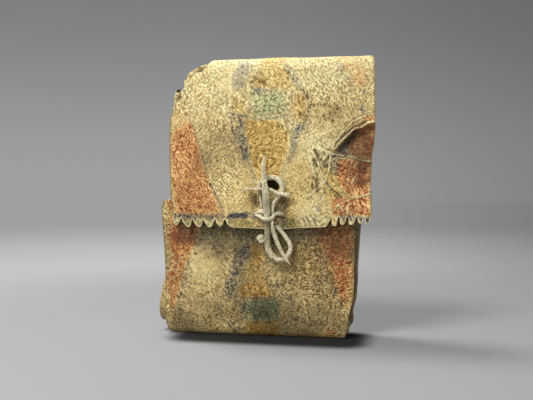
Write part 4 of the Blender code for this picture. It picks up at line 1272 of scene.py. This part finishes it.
# Darker places on the thongs, partly dirt and partly painted shade: on the strap below the flap's edge, on
# the ring's left leg and round the holes
TIE_SOIL_AND_SHADE = [
    (2.4, 197, 1.1, 0.6), (2.4, 193, 1.0, 0.9), (3.0, 189.6, 0.9, 0.9), (3.4, 184.5, 0.9, 0.7),
    (4.0, 180, 1.0, 1.0), (4.3, 177, 1.0, 0.9), (3.4, 174, 1.0, 0.6), (4.6, 166, 3.0, 0.5),
    (5, 155, 3.5, 0.5), (8.5, 160, 2.0, 0.5), (5.5, 147, 3, 0.3), (-4.4, 167.5, 2.6, 1.1),
    (-2.4, 158, 2.0, 0.3), (5.5, 131, 5, 0.9), (5.5, 120, 4.5, 0.75), (4.5, 111, 3.5, 0.35),
    (19, 143.6, 3, 0.5), (23, 141, 2, 0.8), (-13, 141, 3, 0.8), (-8.5, 139, 1.6, 1.0),
]


def smooth_route(stations, spacing):
    """Stations of a thong (across, depth, height, width), made into a smooth close line."""
    stations = [np.array(s, float) for s in stations]
    ends = [2 * stations[0] - stations[1], *stations, 2 * stations[-1] - stations[-2]]
    line = []
    for a, b, c, d in zip(ends, ends[1:], ends[2:], ends[3:]):
        count = max(1, round(float(np.linalg.norm(c[:3] - b[:3])) / spacing))
        for i in range(count):
            t = i / count
            bend = (2 * a - 5 * b + 4 * c - d) * t * t + (3 * b - a - 3 * c + d) * t**3
            line.append((2 * b + (c - a) * t + bend) / 2)
    line.append(stations[-1])
    line = np.array(line)
    line[:, 3] = np.maximum(line[:, 3], 0.8)
    return line


def buckskin_material():
    """Soft brain-tanned hide, once white: a matt nap with small dark pits and greyed creases."""
    material, tree = new_material("buckskin")
    place = own_place(tree)
    nap = clouds(place, 760.0, 3.0, 0.6)
    pits = clouds(place, 520.0, 2.0)
    colour = blend(nap.spread(0.36, 0.64), tint(158, 146, 108), tint(255, 248, 212))
    greyed = clouds(place, 90.0, 3.0).spread(0.42, 0.68, 0.0, 0.45)
    colour = blend(greyed, colour, tint(164, 152, 118))
    # The marked darkening is partly dirt and partly painted shade
    soil_and_shade = ((nap - 0.5) * 1.2 + marked(tree, "soil_and_shade")).clamped()
    colour = blend(soil_and_shade * 0.8, colour, tint(104, 94, 66))
    colour = blend((soil_and_shade * 0.05 + pits).spread(0.60, 0.70, 0.0, 0.8), colour, tint(96, 86, 60))
    roughness = nap.spread(0.2, 0.8, 0.95, 0.8)
    relief = pits.spread(0.58, 0.72) * -0.9 + nap
    looks = {"Specular IOR Level": 0.2, "Sheen Weight": 0.25, "Sheen Roughness": 0.5}
    return finish_material(material, colour, roughness, relief, 0.6, looks)


BUCKSKIN = buckskin_material()


def make_thong(name, node, line, flatness, ribs, seed):
    """Sweeps a rolled or flat thong along its line, with the unevenness of stretched hide."""
    spine = line[:, :3] * MM
    count = len(spine)
    flatness, ribs = np.broadcast_to(flatness, count), np.broadcast_to(ribs, count)
    tangents = np.gradient(spine, axis=0)
    tangents /= np.linalg.norm(tangents, axis=1)[:, None]
    front = np.tile([0.0, -1.0, 0.0], (count, 1))
    front -= (front * tangents).sum(1)[:, None] * tangents
    front /= np.linalg.norm(front, axis=1)[:, None]
    across = np.cross(tangents, front)
    travel = np.concatenate([[0], np.cumsum(np.linalg.norm(np.diff(spine, axis=0), axis=1))])
    points, faces = [], []
    for i in range(count):
        half = line[i, 3] * MM / 2
        thick = half * flatness[i]
        for j in range(THONG_SIDES):
            angle = 2 * math.pi * j / THONG_SIDES
            place = (math.cos(angle) * 0.9, math.sin(angle) * 0.9, travel[i] / THONG_LUMPS + seed)
            lump = noise.noise(Vector(place))
            rib = ribs[i] * math.sin(travel[i] / THONG_RIBS + 2.2 * math.sin(angle) + 2.0 * lump)
            grow = 1 + THONG_SWELL * lump + rib
            offset = across[i] * math.cos(angle) * half * grow + front[i] * math.sin(angle) * thick * grow
            points.append(spine[i] + offset)
    for i in range(count - 1):
        for j in range(THONG_SIDES):
            a, b = i * THONG_SIDES + j, i * THONG_SIDES + (j + 1) % THONG_SIDES
            faces.append((a, b, b + THONG_SIDES, a + THONG_SIDES))
    # Both ends are closed to a blunt point
    for end, way in ((0, -1), (count - 1, 1)):
        points.append(spine[end] + tangents[end] * way * line[end, 3] * MM * THONG_TIP)
        tip = len(points) - 1
        for j in range(THONG_SIDES):
            a, b = end * THONG_SIDES + j, end * THONG_SIDES + (j + 1) % THONG_SIDES
            faces.append((b, a, tip) if way < 0 else (a, b, tip))
    mesh = bpy.data.meshes.new(name)
    mesh.from_pydata([tuple(p) for p in points], [], faces)
    mesh.materials.append(BUCKSKIN)
    thong = bpy.data.objects.new(name, mesh)
    places = np.array(points)
    mark(thong, "soil_and_shade", spots(places[:, 0], places[:, 2], TIE_SOIL_AND_SHADE))
    bpy.context.scene.collection.objects.link(thong)
    bpy.ops.object.select_all(action="DESELECT")
    thong.select_set(True)
    bpy.context.view_layer.objects.active = thong
    bpy.ops.object.mode_set(mode="EDIT")
    bpy.ops.mesh.select_all(action="SELECT")
    bpy.ops.mesh.normals_make_consistent(inside=False)
    bpy.ops.object.mode_set(mode="OBJECT")
    mesh.shade_smooth()
    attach(thong, "upper_flap")
    if node:
        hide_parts(node)
    return thong


def declare_cord(line):
    """Reads a thong's line as points, and does nothing more with them."""
    path = [tuple(p) for p in line[:, :3] * MM]


strap_line = smooth_route(STRAP, 0.4)
strap_share = np.linspace(0, 1, len(strap_line))
strap_flatness = np.interp(strap_share, [0, 0.3, 0.5, 0.62, 1], [0.42, 0.40, 0.62, 0.85, 0.9])
strap_ribs = np.interp(strap_share, [0, 0.45, 0.6, 0.95, 1], [0.0, 0.02, 0.11, 0.10, 0.04])
strap = make_thong("tie_strap_flat", "tie_strap", strap_line, strap_flatness, strap_ribs, 2)
# The strap leaves the hide where it comes back up, at its line's end
declare_cord(strap_line[::-1])

tail_line = smooth_route(TAIL, 0.6)
tail = make_thong("tie_thin_tail", "tie_tail", tail_line, 0.75, 0.02, 5)
declare_cord(tail_line)

ring_line = smooth_route(RING, 0.6)
ring = make_thong("tie_ring_thong", "tie_ring", ring_line, 0.9, 0.04, 8)
declare_cord(ring_line)

peg_line = smooth_route(PEG, 0.5)
peg = make_thong("tie_peg_thong", "tie_cross", peg_line, 0.9, 0.05, 11)
declare_cord(peg_line)

# The short pieces at the holes and at the loop's foot
WRAP = [
    (-10.4, -25.6, 140.6, 1.8), (-9.2, -29.6, 142.2, 3.0), (-5.6, -31.6, 142.4, 4.4),
    (-1.8, -33.8, 140.6, 4.6), (1.5, -35.6, 139.0, 4.8), (5.7, -36.6, 138.4, 5.0), (9.8, -35.4, 139.0, 5.0),
    (12.4, -33.4, 141.2, 4.6), (12.9, -32.0, 143.4, 4.0),
]
FLAT_END = [
    (13.6, -29.8, 142.6, 2.8), (16.0, -30.4, 144.6, 3.8), (19.4, -30.4, 144.8, 4.6),
    (22.2, -29.2, 143.2, 4.0), (23.6, -25.6, 141.2, 3.0),
]
LUMP = [
    (-7.4, -29.2, 145.2, 2.2), (-4.4, -30.6, 147.0, 4.8), (-1.2, -31.2, 147.2, 6.4), (1.8, -31.2, 146.0, 5.6),
]
LEFT_STRAND = [
    (-6.6, -28.8, 138.0, 1.6), (-10.4, -29.4, 138.9, 2.6), (-13.4, -29.6, 141.5, 2.9),
    (-11.8, -29.4, 144.2, 2.7), (-8.2, -28.8, 145.6, 2.0),
]
BACK_RUN = [
    (-9.0, -22.6, 140.2, 3.4), (0.0, -21.6, 140.0, 5.0), (14.0, -21.6, 140.2, 5.0), (24.2, -22.6, 140.0, 3.4),
]
KNOT_HIGH = [
    (-4.6, -30.6, 114.2, 4.6), (-4.2, -31.2, 116.4, 6.4), (-2.0, -31.4, 117.4, 6.6), (0.6, -30.6, 116.6, 5.2),
]
KNOT_LOW = [
    (-4.2, -30.8, 113.4, 4.0), (-1.8, -31.6, 113.2, 5.0), (1.4, -31.2, 114.0, 4.4), (4.6, -30.6, 115.2, 3.4),
]
FRAYED_END = [(-24.8, -31.8, 174.4, 1.6), (-23.6, -32.8, 173.2, 2.8), (-21.6, -33.4, 173.8, 2.2)]
SMALL_THONGS = [
    ("tie_wrapped_turn", "tie_wrap", WRAP, 0.9, 0.03),
    ("tie_flat_end", "tie_wrap", FLAT_END, 0.45, 0.0),
    ("tie_pale_lump", "tie_wrap", LUMP, 0.4, 0.02),
    ("tie_left_strand", "tie_wrap", LEFT_STRAND, 0.6, 0.02),
    ("tie_back_stretch", "tie_back_run", BACK_RUN, 0.36, 0.0),
    ("tie_knot_upper_lobe", "tie_knot", KNOT_HIGH, 0.85, 0.03),
    ("tie_knot_lower_lobe", "tie_knot", KNOT_LOW, 0.8, 0.03),
    ("tie_peg_frayed_end", None, FRAYED_END, 0.7, 0.1),
]
for number, (thong_name, node, route, flat, ribbed) in enumerate(SMALL_THONGS):
    make_thong(thong_name, node, smooth_route(route, 0.5), flat, ribbed, 14 + 3 * number)


# Floor and background: a floor that fades into a plain grey distance. The distant floor glows and, like the
# backdrop, is graded as painted light, lighter on the left and below. The key lamp hangs high in front, so
# the upper flap shades the lower one. A lamp above the case throws its shadow on the floor, and close under
# the case the floor is darkened as a painted shadow.
NEAR_GREY = tint(204, 204, 206)
FAR_GREY = tint(160, 160, 162)
HIGH_GREY = tint(126, 126, 128)
SHADED_SIDE_GREY = tint(60, 60, 62)
FLOOR_GREY = tint(138, 138, 139)
PAINTED_SHADOW_GREY = tint(4, 4, 4)
CAMERA_RIGHT = (0.978, 0.208, 0)
CAMERA_FORWARD = (-0.208, 0.978, 0)
# The painted shadow close under the case: its middle, and half of its width and depth
PATCH_MIDDLE = (0.006, -0.020, 0)
PATCH_REACH = (0.086, 0.018, 0)

bpy.ops.mesh.primitive_circle_add(vertices=96, radius=6, fill_type="NGON", location=(0, 0, -0.0003))
floor = bpy.context.object
floor.name = "studio_floor"
floor_material, floor_tree = new_material("studio_floor")
floor_shader = floor_tree.nodes["Principled BSDF"]
floor_shader.inputs["Roughness"].default_value = 0.9
floor_place = own_place(floor_tree)
floor_far = vectors("LENGTH", floor_place, output="Value")
floor_back = vectors("DOT_PRODUCT", floor_place, CAMERA_FORWARD, "Value") + CAMERA_DISTANCE
floor_side = vectors("DOT_PRODUCT", floor_place, CAMERA_RIGHT, "Value")
floor_side = put("ShaderNodeMath", {0: floor_side, 1: floor_back}, operation="DIVIDE")
# Painted light on the distant floor: lighter near the camera, darker far off and towards the right
floor_glow = blend(floor_far.spread(0.3, 2.6), NEAR_GREY, FAR_GREY)
floor_glow = blend(floor_side.spread(-0.12, 0.48, 0.0, 0.52), floor_glow, SHADED_SIDE_GREY)
# Painted shadow: hardly any light gets in close under the case, so the floor is darkened there
beside = vectors("ABSOLUTE", vectors("SUBTRACT", floor_place, PATCH_MIDDLE))
beside = vectors("LENGTH", vectors("MAXIMUM", vectors("SUBTRACT", beside, PATCH_REACH)), output="Value")
floor_base = blend(beside.spread(0.014, 0.044, 1.0, 0.0), FLOOR_GREY, PAINTED_SHADOW_GREY)
floor_base.into(floor_shader.inputs["Base Color"])
far_light = put("ShaderNodeEmission", {"Color": floor_glow, "Strength": 1.0})
inputs = {0: floor_far.spread(0.28, 0.9), 1: Value(floor_shader.outputs[0]), 2: far_light}
put("ShaderNodeMixShader", inputs).into(floor_tree.nodes["Material Output"].inputs["Surface"])
floor.data.materials.append(floor_material)

world = bpy.data.worlds.new("studio_air") if bpy.context.scene.world is None else bpy.context.scene.world
bpy.context.scene.world = world
world.use_nodes = True
air = world.node_tree
air.nodes.clear()
air_rays = put("ShaderNodeLightPath", {}, "Is Camera Ray", air)
air_seen = put("ShaderNodeMath", {0: air_rays, 1: air_rays["Is Glossy Ray"]}, operation="MAXIMUM")
air_seen = put("ShaderNodeMath", {0: air_seen, 1: air_rays["Is Transmission Ray"]}, operation="MAXIMUM")
air_way = put("ShaderNodeTexCoord", {}, "Generated", air)
# The backdrop is graded as painted light: lighter low down and on the left
air_up = put("ShaderNodeSeparateXYZ", {0: air_way}, 2)
air_side = vectors("DOT_PRODUCT", air_way, CAMERA_RIGHT, "Value").spread(-0.12, 0.48, 0.0, 0.47)
air_colour = blend(air_side, blend(air_up.spread(-0.02, 0.24), FAR_GREY, HIGH_GREY), SHADED_SIDE_GREY)
air_light = put("ShaderNodeBackground", {"Color": (1.0, 0.985, 0.96, 1), "Strength": 0.42}, tree=air)
air_view = put("ShaderNodeBackground", {"Color": air_colour, "Strength": 1.0})
air_mix = put("ShaderNodeMixShader", {0: air_seen, 1: air_light, 2: air_view})
air_mix.into(air.nodes.new("ShaderNodeOutputWorld").inputs["Surface"])


def hang_lamp(name, place, aim, size, power):
    """A soft square lamp, turned towards a point."""
    turn = (Vector(aim) - Vector(place)).to_track_quat("-Z", "Y").to_euler()
    bpy.ops.object.light_add(type="AREA", location=place, rotation=turn)
    lamp = bpy.context.object
    lamp.name = name
    lamp.data.shape = "SQUARE"
    lamp.data.size = size
    lamp.data.energy = power


hang_lamp("key_lamp", (-0.45, -1.0, 1.5), (0, 0, 0.16), 0.5, 27)
hang_lamp("fill_lamp", (-0.3, -1.7, 0.5), (0, 0, 0.16), 1.0, 5)
hang_lamp("top_lamp", (-0.60, 0.28, 1.6), (0, 0, 0), 0.4, 22)

scene = bpy.context.scene
scene.view_settings.view_transform = "Standard"
